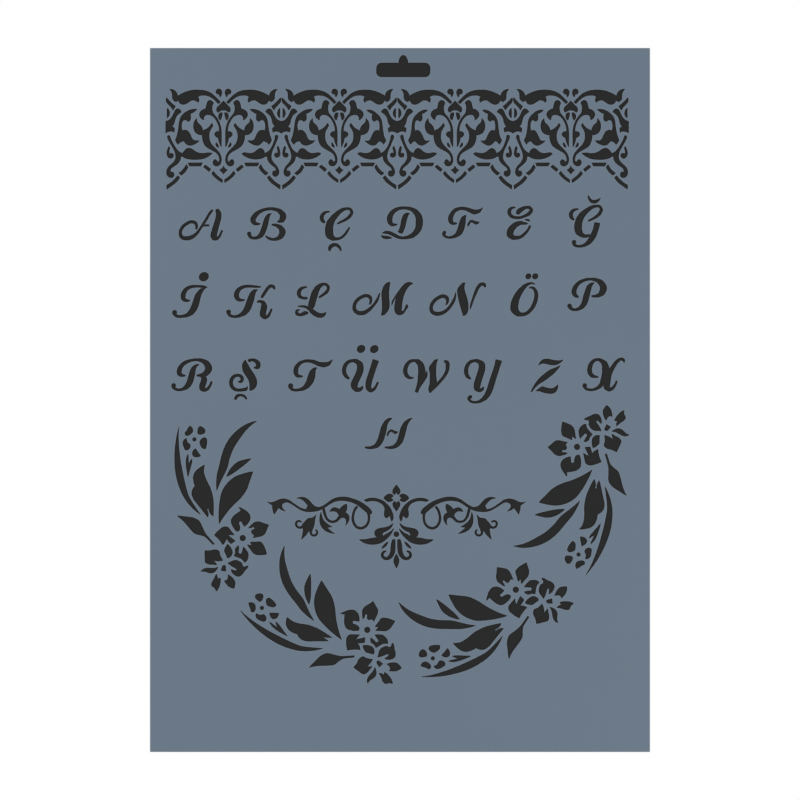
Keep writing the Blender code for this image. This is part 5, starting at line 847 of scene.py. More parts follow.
# One flower spray of the wreath, in its place about the wreath's centre
SPRAY = (
    Outline((
        (-80.1, -77.3, CORNER), (-77.0, -81.4), (-73.3, -85.4), (-68.2, -89.8), (-62.7, -93.5),
        (-56.8, -96.2), (-51.2, -97.7), (-45.5, -98.0), (-38.4, -96.6, CORNER), (-44.0, -96.2),
        (-49.8, -95.4), (-55.4, -93.1), (-61.5, -90.1), (-67.2, -87.0), (-72.1, -83.9), (-76.6, -80.6)
    )),
    Outline((
        (-57.7, -45.3, CORNER), (-59.4, -49.0), (-60.3, -54.4), (-60.0, -59.2), (-58.6, -64.2),
        (-56.1, -68.8), (-52.6, -73.4), (-48.8, -78.2), (-42.8, -83.0, CORNER), (-45.4, -78.4),
        (-46.8, -75.3), (-48.4, -72.0), (-51.6, -67.8), (-54.3, -63.2), (-56.1, -58.0), (-57.6, -52.2),
        (-57.9, -48.4)
    )),
    Outline((
        (-44.8, -59.2, CORNER), (-46.5, -62.3), (-47.7, -65.6), (-47.7, -68.9), (-46.8, -72.2),
        (-45.4, -74.8, CORNER), (-44.7, -71.2), (-44.5, -67.0), (-44.5, -63.0)
    )),
    Outline((
        (-39.2, -62.6, CORNER), (-41.4, -67.0), (-42.8, -71.6), (-42.7, -76.2), (-41.2, -80.8),
        (-37.6, -85.3), (-33.4, -89.2), (-29.1, -92.4, CORNER), (-30.9, -87.0), (-32.0, -81.8),
        (-32.6, -76.0), (-34.0, -71.0), (-36.7, -66.6)
    )),
    Outline((
        (-22.8, -100.2, CORNER), (-26.5, -100.45), (-30.0, -100.45), (-33.0, -99.8), (-36.6, -99.1),
        (-39.2, -100.1), (-42.4, -103.0), (-45.7, -106.3, CORNER), (-42.1, -105.5), (-36.0, -105.2),
        (-32.9, -104.8), (-30.6, -103.1), (-28.4, -101.8), (-26.0, -101.45), (-22.9, -101.15, CORNER)
    )),
    Outline((
        (-13.4, -73.0, CORNER), (-15.5, -74.5), (-17.6, -75.8), (-18.8, -77.4), (-18.9, -79.4),
        (-18.5, -82.3, CORNER), (-17.7, -81.0), (-16.9, -79.6), (-16.4, -79.9), (-16.6, -81.3),
        (-15.3, -82.4), (-14.4, -82.1), (-13.3, -83.6, CORNER), (-12.4, -81.8), (-11.3, -79.6),
        (-11.0, -77.8), (-12.1, -75.4)
    )),
    Outline((
        (-2.4, -83.0, CORNER), (-4.6, -82.1), (-7.2, -81.4), (-9.2, -81.5), (-10.7, -83.3),
        (-12.5, -85.8, CORNER), (-10.7, -86.1, CORNER), (-12.5, -87.8, CORNER), (-9.8, -87.9),
        (-6.9, -87.9), (-5.2, -87.0), (-3.8, -85.2)
    )),
    Outline((
        (-12.8, -89.8, CORNER), (-10.6, -89.7), (-8.6, -90.0), (-7.1, -91.2), (-6.1, -93.0),
        (-6.2, -94.4, CORNER), (-8.4, -94.4), (-10.2, -95.3), (-12.1, -96.4, CORNER), (-13.0, -94.8),
        (-14.4, -93.8), (-14.8, -92.6), (-14.6, -91.2, CORNER), (-13.2, -92.3), (-11.3, -93.5),
        (-10.8, -93.0), (-11.5, -91.6)
    )),
    Outline((
        (-19.9, -89.8, CORNER), (-23.0, -89.7), (-25.5, -89.9), (-26.6, -91.2), (-26.9, -93.8),
        (-26.3, -97.7, CORNER), (-23.2, -97.2), (-19.8, -97.4, CORNER), (-20.2, -95.6),
        (-21.1, -94.1, CORNER), (-17.7, -93.9, CORNER), (-17.4, -91.1, CORNER), (-22.0, -92.2, CORNER),
        (-21.2, -91.0)
    )),
    Outline((
        (-29.8, -79.2, CORNER), (-27.4, -78.1), (-25.2, -77.4), (-22.9, -77.5), (-21.2, -78.9),
        (-20.4, -81.0), (-20.4, -83.3, CORNER), (-22.1, -83.0), (-23.6, -83.1), (-23.6, -84.0),
        (-22.2, -84.7), (-20.8, -85.6), (-20.3, -86.8), (-20.6, -87.7, CORNER), (-24.2, -87.7),
        (-26.9, -86.5), (-27.8, -84.3), (-27.8, -81.6), (-27.7, -79.5, CORNER), (-29.0, -79.5)
    )),
    Outline((
        (-11.6, -103.2), (-10.9, -102.7), (-9.9, -103.3), (-8.4, -104.4, CORNER), (-9.4, -105.1),
        (-10.1, -106.1, CORNER), (-11.2, -104.9), (-11.7, -103.9)
    )),
    Outline((
        (-18.7, -95.1, CORNER), (-15.4, -95.2), (-13.7, -96.0), (-12.9, -97.4), (-13.2, -99.7, CORNER),
        (-15.3, -99.1), (-17.2, -98.5), (-18.0, -97.3)
    )),
    Outline((
        (-3.8, -94.0), (-3.1, -94.9), (-2.8, -96.8), (-2.2, -99.4), (-2.6, -101.1), (-4.0, -102.0),
        (-7.9, -101.7, CORNER), (-6.7, -101.0), (-5.8, -100.2), (-5.7, -99.7), (-6.5, -99.6),
        (-8.4, -100.4), (-11.4, -101.1, CORNER), (-10.8, -99.6), (-10.5, -98.1), (-9.6, -96.7),
        (-8.2, -95.9), (-6.6, -95.5), (-5.2, -96.0), (-4.4, -95.4), (-4.2, -94.5)
    )),
    Outline((
        (-18.8, -100.7), (-16.6, -101.6), (-13.6, -102.0, CORNER), (-14.6, -103.8),
        (-16.5, -105.7, CORNER), (-13.7, -105.7, CORNER), (-15.2, -107.3), (-16.7, -109.0),
        (-18.4, -109.6), (-20.2, -108.5), (-23.3, -106.1, CORNER), (-21.6, -104.1), (-20.4, -101.8)
    )),
    Outline((
        (-6.8, -104.5, CORNER), (-5.1, -103.9), (-2.9, -103.7), (-1.4, -104.0), (-0.2, -105.1),
        (0.8, -106.4, CORNER), (-0.4, -107.4), (-1.9, -108.0), (-3.8, -108.1), (-5.6, -107.9, CORNER),
        (-4.9, -106.9), (-5.4, -105.6)
    )),
    Outline((
        (-10.6, -108.9, CORNER), (-9.2, -109.2), (-8.1, -109.8, CORNER), (-7.7, -108.4, CORNER),
        (-6.3, -109.5), (-4.9, -111.1), (-3.9, -113.0), (-3.6, -114.4, CORNER), (-5.4, -114.0),
        (-7.6, -114.3), (-8.6, -113.2), (-9.4, -111.2)
    )),
    Outline((
        (-12.6, -105.9, CORNER), (-12.0, -107.4), (-11.8, -109.3), (-12.5, -110.9), (-14.1, -112.1),
        (-15.2, -112.9), (-16.1, -114.4, CORNER), (-16.5, -112.7), (-15.9, -110.9), (-14.6, -109.3),
        (-13.3, -107.7)
    )),
    Dot(-16.35, -87.4, 1.5, 1.5),
)

# Small flower of a spray, with its bud
SMALL_FLOWER = (
    Outline((
        (-65.4, -83.3, CORNER), (-64.2, -85.4), (-62.2, -87.2), (-59.2, -89.1), (-56.1, -90.7, CORNER),
        (-57.9, -88.3), (-59.6, -86.0), (-61.0, -84.2), (-62.3, -83.2, CORNER), (-61.9, -84.6),
        (-61.4, -86.1, CORNER), (-62.8, -85.1), (-64.0, -84.1)
    )),
    Outline((
        (-72.4, -71.2), (-72.3, -70.0), (-71.2, -69.4), (-69.3, -69.3), (-68.4, -70.1), (-68.5, -71.5),
        (-69.2, -72.8), (-70.0, -73.3), (-71.3, -72.5)
    )),
    Outline((
        (-65.7, -71.4), (-64.0, -72.3), (-62.6, -73.8), (-61.9, -75.1), (-62.6, -75.8), (-65.0, -75.8),
        (-66.5, -75.0), (-67.0, -73.2), (-66.7, -71.9)
    )),
    Outline((
        (-65.2, -78.8, CORNER), (-60.5, -79.0, CORNER), (-60.9, -80.4), (-62.0, -81.7), (-63.4, -82.0),
        (-64.6, -81.1), (-65.1, -80.0)
    )),
    Outline((
        (-71.8, -79.1, CORNER), (-70.3, -79.9), (-67.9, -79.8), (-67.0, -80.8), (-66.9, -82.2),
        (-67.6, -83.2), (-69.4, -82.9), (-71.4, -81.9), (-72.1, -80.8)
    )),
    Outline((
        (-75.8, -73.9, CORNER), (-74.0, -73.7), (-72.7, -74.4), (-72.2, -75.9), (-72.4, -77.5),
        (-73.2, -78.5), (-74.4, -78.3), (-74.8, -76.8), (-75.5, -75.2)
    )),
    Dot(-69.05, -76.4, 1.0, 1.0),
)

# Notched leaf of a spray in its slim and its broad form
SLIM_LEAF = (
    Outline((
        (-56.4, -81.0, CORNER), (-57.0, -84.4), (-56.1, -86.8), (-54.3, -88.4), (-51.3, -89.6, CORNER),
        (-50.2, -91.5), (-47.9, -92.8), (-45.4, -93.1, CORNER), (-35.6, -93.0, CORNER), (-37.1, -92.0),
        (-38.6, -91.1, CORNER), (-33.8, -91.4, CORNER), (-36.9, -89.2), (-41.6, -86.5), (-46.0, -84.9),
        (-50.4, -84.2), (-53.6, -83.1)
    )),
)
BROAD_LEAF = (
    Outline((
        (-56.8, -79.4, CORNER), (-57.3, -82.6), (-57.1, -85.4), (-56.0, -87.5), (-54.2, -88.9),
        (-51.6, -90.0, CORNER), (-50.9, -92.1), (-49.7, -93.6), (-47.8, -94.4), (-45.4, -94.7, CORNER),
        (-35.2, -94.7, CORNER), (-36.2, -93.5), (-38.7, -92.5, CORNER), (-38.5, -91.7, CORNER),
        (-36.2, -92.5), (-33.9, -92.2, CORNER), (-36.8, -89.7), (-41.0, -86.7), (-46.0, -84.5),
        (-51.0, -83.4), (-54.4, -82.0)
    )),
)


@dataclass(frozen=True)
class Placing:
    """Where a spray goes: its turn about the wreath's centre in degrees, and its shift after that.

    The sprays also differ in their notched leaf and in how far their small flower is moved.
    """

    turn: float
    shift: complex = 0j
    leaf: tuple[Shape, ...] = BROAD_LEAF
    flower_shift: complex = 0j


SPRAY_PLACINGS = (
    Placing(-51.6, flower_shift=complex(-1.0, 0.7)),
    Placing(0.0, leaf=SLIM_LEAF),
    Placing(51.4, complex(-0.2, 0.0)),
    Placing(102.6, complex(-0.35, 1.0)),
)

# Ornament inside the wreath, its left half and the pieces on its axis
ORNAMENT_DRAWN_PLACE = complex(-1.8, -35.95)
ORNAMENT_HALF = (
    Outline((
        (-64.9, 13.0, CORNER), (-63.1, 12.3), (-61.0, 12.7), (-58.6, 13.8), (-56.4, 14.2),
        (-54.4, 13.7, CORNER), (-54.0, 12.3, CORNER), (-55.6, 12.2), (-56.9, 11.5), (-57.2, 10.3),
        (-56.5, 9.0), (-55.1, 7.8, CORNER), (-57.2, 8.4), (-58.8, 9.5, CORNER), (-59.8, 8.2),
        (-61.1, 6.2, CORNER), (-61.8, 8.3), (-62.1, 10.8, CORNER), (-63.6, 11.8)
    )),
    Stroke((
        (-56.4, 13.3, 1.6), (-54.2, 13.0, 1.4), (-52.1, 11.8, 1.0), (-49.9, 10.3, 0.9), (-47.7, 9.0, 1.0),
        (-45.4, 8.3, 1.2), (-42.8, 8.4, 1.7), (-40.3, 8.8, 1.9), (-38.0, 9.3, 1.5), (-36.0, 10.3, 1.3),
        (-34.0, 11.7, 1.3), (-31.6, 13.2, 1.6), (-28.8, 14.0, 1.9), (-25.8, 14.1, 2.0), (-22.5, 13.4, 2.0),
        (-19.5, 12.2, 2.2), (-16.6, 10.3, 2.6), (-14.3, 8.4, 2.7), (-13.3, 7.4, 2.2)
    )),
    Outline((
        (-50.1, 14.3, CORNER), (-48.4, 14.9), (-46.3, 14.9), (-44.2, 13.9), (-42.4, 12.0), (-41.0, 10.6),
        (-38.8, 10.0, CORNER), (-39.4, 8.8, CORNER), (-42.0, 8.3), (-45.2, 8.5, CORNER), (-44.9, 9.6),
        (-44.3, 10.7, CORNER), (-45.3, 11.9), (-46.6, 13.2), (-48.2, 14.1)
    )),
    Stroke((
        (-36.5, 9.4, 1.2), (-36.1, 7.6, 1.3), (-35.5, 5.6, 1.2), (-34.6, 3.9, 1.1), (-33.3, 2.9, 1.1),
        (-31.7, 2.6, 1.1), (-30.1, 3.1, 1.2), (-28.7, 4.6, 1.4)
    )),
    Outline((
        (-33.4, 7.5, CORNER), (-32.6, 9.0), (-31.1, 9.8), (-29.6, 9.5), (-28.4, 8.9, CORNER),
        (-27.4, 10.2), (-24.9, 11.6, CORNER), (-24.6, 10.0), (-25.5, 7.3, CORNER), (-24.2, 6.4),
        (-23.5, 4.4), (-24.1, 2.4), (-25.6, 0.6, CORNER), (-25.1, 2.6), (-25.6, 4.2), (-26.8, 4.7),
        (-28.2, 4.1), (-29.4, 3.2, CORNER), (-28.9, 4.6), (-29.0, 6.2), (-30.2, 7.6), (-31.8, 7.9)
    )),
    Stroke((
        (-19.9, 9.9, 1.2), (-20.9, 8.4, 1.1), (-21.6, 6.2, 1.1), (-21.8, 3.9, 1.2), (-21.0, 1.4, 1.2),
        (-19.5, -0.2, 1.2), (-17.6, -0.6, 1.2), (-15.6, 0.2, 1.2), (-14.2, 2.0, 1.1), (-13.7, 4.3, 1.1),
        (-13.9, 6.5, 1.2), (-14.6, 8.2, 1.6)
    )),
    Outline((
        (-37.6, 7.8, CORNER), (-38.3, 5.5), (-38.4, 3.0), (-37.7, 0.5), (-36.2, -1.4), (-33.6, -2.8),
        (-30.5, -3.4, CORNER), (-32.4, -2.2), (-34.5, -0.3, CORNER), (-31.9, 0.1, CORNER), (-34.2, 1.4),
        (-36.2, 3.2), (-37.2, 5.4)
    )),
    Outline((
        (-40.0, 6.6, CORNER), (-41.9, 4.7), (-44.2, 4.3), (-45.8, 2.7), (-47.2, 0.8),
        (-46.6, -1.2, CORNER), (-46.9, -3.4), (-47.6, -6.3, CORNER), (-45.3, -4.2), (-43.8, -2.1, CORNER),
        (-42.6, -1.9), (-41.6, -0.6), (-40.9, 1.6), (-40.6, 4.2)
    )),
    Stroke((
        (-46.0, 0.9, 1.6), (-47.2, 0.0, 1.2), (-48.7, -0.3, 1.0), (-50.0, 0.8, 1.0), (-50.0, 2.3, 1.0),
        (-48.9, 3.0, 0.9), (-47.6, 2.5, 0.6)
    )),
    Stroke((
        (-42.6, -1.5, 1.4), (-42.8, -3.0, 1.0), (-41.6, -4.2, 1.0), (-40.1, -3.8, 1.0), (-39.6, -2.6, 0.9),
        (-40.2, -1.5, 0.7)
    )),
    Outline((
        (-16.3, 13.4, CORNER), (-14.6, 14.2), (-12.2, 14.6), (-9.8, 14.3), (-7.4, 13.5), (-5.2, 12.0),
        (-3.3, 9.9), (-2.0, 7.3), (-1.5, 4.6), (-2.4, 2.6, CORNER), (-2.9, 4.0), (-3.2, 5.6, CORNER),
        (-4.1, 5.0), (-5.0, 4.4), (-5.9, 5.2), (-6.1, 7.2), (-5.9, 9.3), (-6.8, 11.0), (-8.8, 12.4),
        (-11.2, 13.0), (-13.4, 12.9), (-15.0, 12.6, CORNER)
    )),
    Outline((
        (-1.5, 2.3, CORNER), (-3.0, 0.9), (-5.0, 0.0), (-7.4, -0.4), (-9.4, -0.9), (-10.9, -2.3),
        (-10.8, -3.9), (-9.8, -5.2, CORNER), (-12.4, -5.5), (-15.2, -6.1), (-18.7, -6.1, CORNER),
        (-17.0, -7.5), (-14.6, -8.5), (-11.8, -8.8), (-9.0, -8.4), (-6.6, -7.4), (-4.3, -5.4),
        (-2.3, -3.0), (-1.2, -0.4, CORNER), (-3.3, -2.4), (-5.3, -3.5), (-6.9, -3.9), (-6.7, -3.1),
        (-4.9, -2.1), (-2.8, -0.5)
    )),
    Outline((
        (-4.0, -7.2, CORNER), (-5.6, -8.2), (-6.8, -9.5), (-7.6, -10.8, CORNER), (-6.3, -10.4),
        (-4.9, -9.2)
    )),
    Stroke((
        (-1.3, -6.9, 1.7), (-1.6, -8.6, 2.2), (-1.7, -10.6, 2.4), (-2.0, -12.8, 2.3), (-3.0, -14.7, 2.0),
        (-4.8, -15.8, 1.5), (-6.5, -15.2, 1.4), (-7.1, -13.8, 1.3), (-6.5, -12.6, 1.1), (-5.5, -12.2, 0.8)
    )),
    Outline((
        (-6.4, 14.5, CORNER), (-5.2, 15.9), (-3.6, 16.6), (-2.2, 16.3), (-1.4, 15.4, CORNER),
        (-2.6, 14.5, CORNER), (-1.5, 13.6, CORNER), (-2.5, 12.8), (-4.0, 12.6), (-5.4, 13.4)
    )),
)
ORNAMENT_AXIS = (
    HalfOutline(((0.0, -13.4, CORNER), (1.0, -15.2), (1.4, -16.8), (0.9, -18.8), (0.0, -20.7, CORNER))),
    HalfOutline((
        (0.0, 21.2, CORNER), (0.9, 20.0), (1.9, 18.4), (1.8, 17.0), (0.7, 16.1, CORNER),
        (0.0, 17.2, CORNER)
    )),
    HalfOutline((
        (0.0, 12.0, CORNER), (0.7, 13.0, CORNER), (1.8, 12.0), (1.7, 10.4), (0.8, 9.0), (0.0, 7.8, CORNER)
    )),
    Dot(0.0, -3.6, 1.35, 1.35),
)


def signed_area(polygon: Polygon) -> float:
    """Measure a polygon's area, positive when it turns to the left."""
    return sum((a.conjugate() * b).imag for a, b in zip(polygon, polygon[1:] + polygon[:1])) / 2


def drawn(shapes: tuple[Shape, ...]) -> list[Polygon]:
    """Draw a motif's shapes as polygons in drawing units."""
    return [polygon for shape in shapes for polygon in shape.polygons()]


def mirrored(polygons: list[Polygon]) -> list[Polygon]:
    """Mirror polygons across the upright axis."""
    return [[-point.conjugate() for point in polygon] for polygon in polygons]


def turned(polygons: list[Polygon], angle: float) -> list[Polygon]:
    """Turn polygons about the origin by an angle in radians."""
    turn = cmath.exp(1j * angle)
    return [[point * turn for point in polygon] for polygon in polygons]


def placed(polygons: list[Polygon], scale: float, at: complex,
           height_scale: float | None = None) -> list[Polygon]:
    """Bring polygons to their real size and place.

    Args:
        polygons: The polygons in drawing units.
        scale: Metres in a drawing unit.
        at: Where the drawing's origin goes, in metres.
        height_scale: Metres in an upright drawing unit, where the motif is stretched.

    Returns:
        The polygons in metres.
    """
    height_scale = scale if height_scale is None else height_scale
    return [[at + complex(point.real * scale, point.imag * height_scale) for point in polygon]
            for polygon in polygons]


def extent(polygons: list[Polygon]) -> tuple[complex, complex]:
    """Find the box round a motif.

    Args:
        polygons: The motif.

    Returns:
        The box's lowest and highest corner.
    """
    points = [point for polygon in polygons for point in polygon]
    across = [point.real for point in points]
    up = [point.imag for point in points]
    return complex(min(across), min(up)), complex(max(across), max(up))


@dataclass
class HangSlot:
    """Slot that the sheet hangs by: a bar with round corners and a pointed hump on it."""

    length: float = 0.0269
    height: float = 0.0071
    corner_radius: float = 0.0026
    offset: float = 0.00165
    hump_width: float = 0.0048
    hump_height: float = 0.00385
    hump_fullness: float = 1.15

    def reach(self) -> float:
        """Give the slot's whole height, hump included."""
        return self.height + self.hump_height

    def cut(self, top: float) -> list[Polygon]:
        """Draw the slot.

        Args:
            top: Height of the hump's tip on the sheet.

        Returns:
            The bar and the hump.
        """
        half = self.length / 2 - self.corner_radius
        rise = self.height / 2 - self.corner_radius
        bar_top = top - self.hump_height
        middle = complex(self.offset, bar_top - self.height / 2)
        bar = []
        corners = (complex(half, rise), complex(-half, rise), complex(-half, -rise), complex(half, -rise))
        for quarter, corner in enumerate(corners):
            for step in range(CORNER_STEPS + 1):
                angle = math.pi / 2 * (quarter + step / CORNER_STEPS)
                bar.append(middle + corner + self.corner_radius * cmath.exp(1j * angle))
        hump = []
        for step in range(HUMP_STEPS + 1):
            angle = math.pi * step / HUMP_STEPS
            rise = self.hump_height * math.sin(angle) ** self.hump_fullness
            hump.append(complex(self.offset + self.hump_width / 2 * math.cos(angle), bar_top + rise))
        root = self.corner_radius * 1j
        return [bar, [*hump, hump[-1] - root, hump[0] - root]]


@dataclass
class ScrollBorder:
    """Row of scroll motifs, each with its mirror image, which meet in the crowns between them."""

    height: float = 0.0508
    motifs: int = 4
    left_margin: float = 0.0078
    right_margin: float = 0.01065

    def half(self, number: int) -> list[Polygon]:
        """Draw one half of a motif, to the right of its axis.

        Args:
            number: Which half, counted from the left.

        Returns:
            The cut-outs of the half in drawing units.
        """
        last = 2 * self.motifs - 1
        broad = {half % (last + 1) for half in BROAD_BELL_HALVES}
        bell = BROAD_BELL if number in broad else SLIM_BELL
        foot = END_FOOT if number in (0, last) else INNER_FOOT
        return drawn(BORDER_HALF + CROWN_HALF + bell + foot)

    def cut(self, base: float, sheet_width: float) -> list[Polygon]:
        """Draw the border.

        Args:
            base: Height of the border's lowest points on the sheet.
            sheet_width: Width of the sheet.

        Returns:
            The cut-outs of all motifs.
        """
        high = extent(self.half(0))[1]
        pitch = (sheet_width - self.left_margin - self.right_margin) / self.motifs
        start = complex(self.left_margin - sheet_width / 2, base)
        polygons: list[Polygon] = []
        for index in range(self.motifs):
            motif = mirrored(self.half(2 * index)) + self.half(2 * index + 1) + drawn(BORDER_AXIS)
            at = start + (index + 0.5) * pitch
            polygons += placed(motif, pitch / (2 * high.real), at, self.height / high.imag)
        return polygons


@dataclass
class Alphabet:
    """Three rows of script capitals, and the single letter that stands inside the wreath.

    Each row has two margins: left of its first letter and right of its last one.
    """

    letter_height: float = 0.0165
    margins: tuple[tuple[float, float], ...] = ((0.0141, 0.0236), (0.0110, 0.0216), (0.0105, 0.0125))

    def scale(self) -> float:
        """Give the metres in a drawing unit of the letters."""
        return self.letter_height / LETTER_DRAWN_HEIGHT

    def cut_row(self, number: int, baseline: float, sheet_width: float) -> list[Polygon]:
        """Draw a row from margin to margin; the letters share out what their own widths leave free.

        Args:
            number: Which row, from the top.
            baseline: Height of the row's baseline on the sheet.
            sheet_width: Width of the sheet.

        Returns:
            The cut-outs of the row.
        """
        row = ROWS[number]
        left, right = self.margins[number]
        last_letter, last_start = row[-1]
        row_end = last_start + extent(drawn(LETTERS[last_letter]))[1].real
        spare = (sheet_width - left - right - row_end * self.scale()) / (len(row) - 1)
        polygons: list[Polygon] = []
        for index, (letter, start) in enumerate(row):
            at = complex(left + start * self.scale() + index * spare - sheet_width / 2, baseline)
            polygons += placed(drawn(LETTERS[letter]), self.scale(), at)
        return polygons

    def cut_last(self, at: complex) -> list[Polygon]:
        """Draw the single letter.

        Args:
            at: The middle of its baseline, in metres.

        Returns:
            The letter's cut-outs.
        """
        letter = drawn(LETTERS[LAST_LETTER])
        low, high = extent(letter)
        return placed(letter, self.scale(), at - (low + high).real / 2 * self.scale())


@dataclass
class Wreath:
    """Open wreath of flower sprays, with the ornament that fills its inside."""

    margin: float = 0.01019
    ornament_clearance: float = 0.0019
    sprays: list[Polygon] = field(default_factory=list, init=False)
    scale: float = field(default=0.0, init=False)

    def fit(self, sheet_width: float) -> float:
        """Turn the sprays about the wreath's centre and scale them to the sheet.

        Args:
            sheet_width: Width of the sheet.

        Returns:
            The wreath's height.
        """
        self.sprays = []
        for placing in SPRAY_PLACINGS:
            spray = drawn(SPRAY + placing.leaf) + placed(drawn(SMALL_FLOWER), 1.0, placing.flower_shift)
            self.sprays += placed(turned(spray, math.radians(placing.turn)), 1.0, placing.shift)
        low, high = extent(self.sprays)
        self.scale = (sheet_width / 2 - self.margin) / high.real
        return (high - low).imag * self.scale

    def centre(self, top: float) -> complex:
        """Give the wreath's centre when its highest point is at a height on the sheet."""
        return complex(0, top - extent(self.sprays)[1].imag * self.scale)

    def cut(self, centre: complex) -> list[Polygon]:
        """Draw the sprays and the ornament.

        Args:
            centre: The wreath's centre on the sheet.

        Returns:
            Their cut-outs.
        """
        opening = min(abs(point) for polygon in self.sprays for point in polygon) * self.scale
        half = drawn(ORNAMENT_HALF)
        ornament = half + mirrored(half) + drawn(ORNAMENT_AXIS)
        ornament = placed(ornament, 1.0, ORNAMENT_DRAWN_PLACE)
        reach = max(abs(point) for polygon in ornament for point in polygon)
        ornament_scale = (opening - self.ornament_clearance) / reach
        return placed(self.sprays, self.scale, centre) + placed(ornament, ornament_scale, centre)


def divided(ring: Polygon, step: float) -> Polygon:
    """Add points to a ring so that none of its edges is longer than a step.

    Args:
        ring: The ring.
        step: The longest edge that it may have.

    Returns:
        The ring with more points.
    """
    line: Polygon = []
    for start, end in zip(ring, ring[1:] + ring[:1]):
        count = max(1, math.ceil(abs(end - start) / step))
        line += [start + (end - start) * number / count for number in range(count)]
    return line


def edges_of(triangle: Triangle) -> list[Edge]:
    """List a triangle's three edges in turn."""
    return [(triangle[i - 1], triangle[i]) for i in range(len(triangle))]


class FlatPattern:
    """The sheet's face as rings round its cut-outs and as triangles between them."""

    def __init__(self, width: float, height: float, rim_step: float) -> None:
        """Lay points along the sheet's rim.

        Args:
            width: Width of the sheet.
            height: Height of the sheet.
            rim_step: How far apart the rim's points are at most.
        """
        corner = complex(width / 2, height / 2)
        self.rim = divided([-corner, corner.conjugate(), corner, -corner.conjugate()], rim_step)

    def triangulate(self, holes: list[Polygon],
                    loose: Polygon | None = None) -> tuple[Polygon, list[Triangle]]:
        """Fill the sheet outside its holes with triangles; holes that overlap count as one.

        Args:
            holes: The cut-outs.
            loose: Points inside the face that triangles also meet at.

        Returns:
            The points, and the triangles as numbers of points.
        """
        points: list[tuple[float, float]] = []
        faces = []
        for polygon in [self.rim, *holes]:
            if signed_area(polygon) < 0:
                polygon = polygon[::-1]
            faces.append(list(range(len(points), len(points) + len(polygon))))
            points += [(point.real, point.imag) for point in polygon]
        points += [(point.real, point.imag) for point in loose or []]
        flat, _, triangles, _, _, sources = delaunay_2d_cdt(
            points, [], faces, TRIANGLES_INSIDE, MERGE_DISTANCE)
        solid = [tuple(triangle) for triangle, source in zip(triangles, sources) if list(source) == [0]]
        return [complex(*point) for point in flat], solid

    @staticmethod
    def held(triangles: list[Triangle]) -> list[Triangle]:
        """Keep the largest group of triangles that hang together; what a cut sets free falls out.

        Args:
            triangles: The triangles of the face.

        Returns:
            The triangles of the sheet.
        """
        beside: dict[frozenset[int], list[int]] = {}
        for number, triangle in enumerate(triangles):
            for edge in edges_of(triangle):
                beside.setdefault(frozenset(edge), []).append(number)
        left = set(range(len(triangles)))
        sheet: set[int] = set()
        while left:
            front = [left.pop()]
            group = set(front)
            while front:
                edges = edges_of(triangles[front.pop()])
                reached = {number for edge in edges for number in beside[frozenset(edge)]} & left
                left -= reached
                group |= reached
                front += reached
            sheet = max(sheet, group, key=len)
        return [triangles[number] for number in sorted(sheet)]

    @staticmethod
    def cut_edges(triangles: list[Triangle]) -> list[Edge]:
        """Find the edges that only one triangle has, each with the sheet on its left."""
        edges = {edge for triangle in triangles for edge in edges_of(triangle)}
        return sorted(edge for edge in edges if edge[::-1] not in edges)

    def rings(self, points: Polygon, triangles: list[Triangle]) -> list[Polygon]:
        """Follow the cut edges round each hole and round the rim.

        Args:
            points: The points of the triangles.
            triangles: The triangles.

        Returns:
            Closed rings, each with the sheet on its left.
        """
        following: dict[int, list[int]] = {}
        for start, end in self.cut_edges(triangles):
            following.setdefault(start, []).append(end)
        rings = []
        while following:
            start = next(iter(following))
            ring = [start]
            at = self.step(following, start)
            while at != start:
                ring.append(at)
                at = self.step(following, at)
            rings.append([points[number] for number in ring])
        return rings

    @staticmethod
    def step(following: dict[int, list[int]], at: int) -> int:
        """Take the next point of a ring.

        Args:
            following: The points that follow each point, without those that were taken.
            at: The point that the ring has reached.

        Returns:
            The next point.
        """
        onward = following[at].pop()
        if not following[at]:
            del following[at]
        return onward


def distance_to_chord(point: complex, start: complex, end: complex) -> float:
    """Measure how far a point lies from the straight line between two others.

    Args:
        point: The point.
        start: Start of the line.
        end: End of the line.

    Returns:
        The distance to the line's nearest point.
    """
    chord = end - start
    along = ((point - start) * chord.conjugate()).real / abs(chord) ** 2
    return abs(point - start - min(1.0, max(0.0, along)) * chord)


def thinned(ring: Polygon, flatness: float) -> Polygon:
    """Keep only the points that a ring needs.

    Args:
        ring: The ring.
        flatness: How far a left-out point may lie from the new line.

    Returns:
        The ring with fewer points.
    """
    far = max(range(len(ring)), key=lambda i: abs(ring[i] - ring[0]))
    closed = ring + ring[:1]
    keep = {0, far}
    open_runs = [(0, far), (far, len(ring))]
    while open_runs:
        start, end = open_runs.pop()
        off = {i: distance_to_chord(closed[i], closed[start], closed[end]) for i in range(start + 1, end)}
        furthest = max(off, key=off.get, default=start)
        if off.get(furthest, 0.0) > flatness:
            keep.add(furthest)
            open_runs += [(start, furthest), (furthest, end)]
    return [ring[i] for i in sorted(keep)]


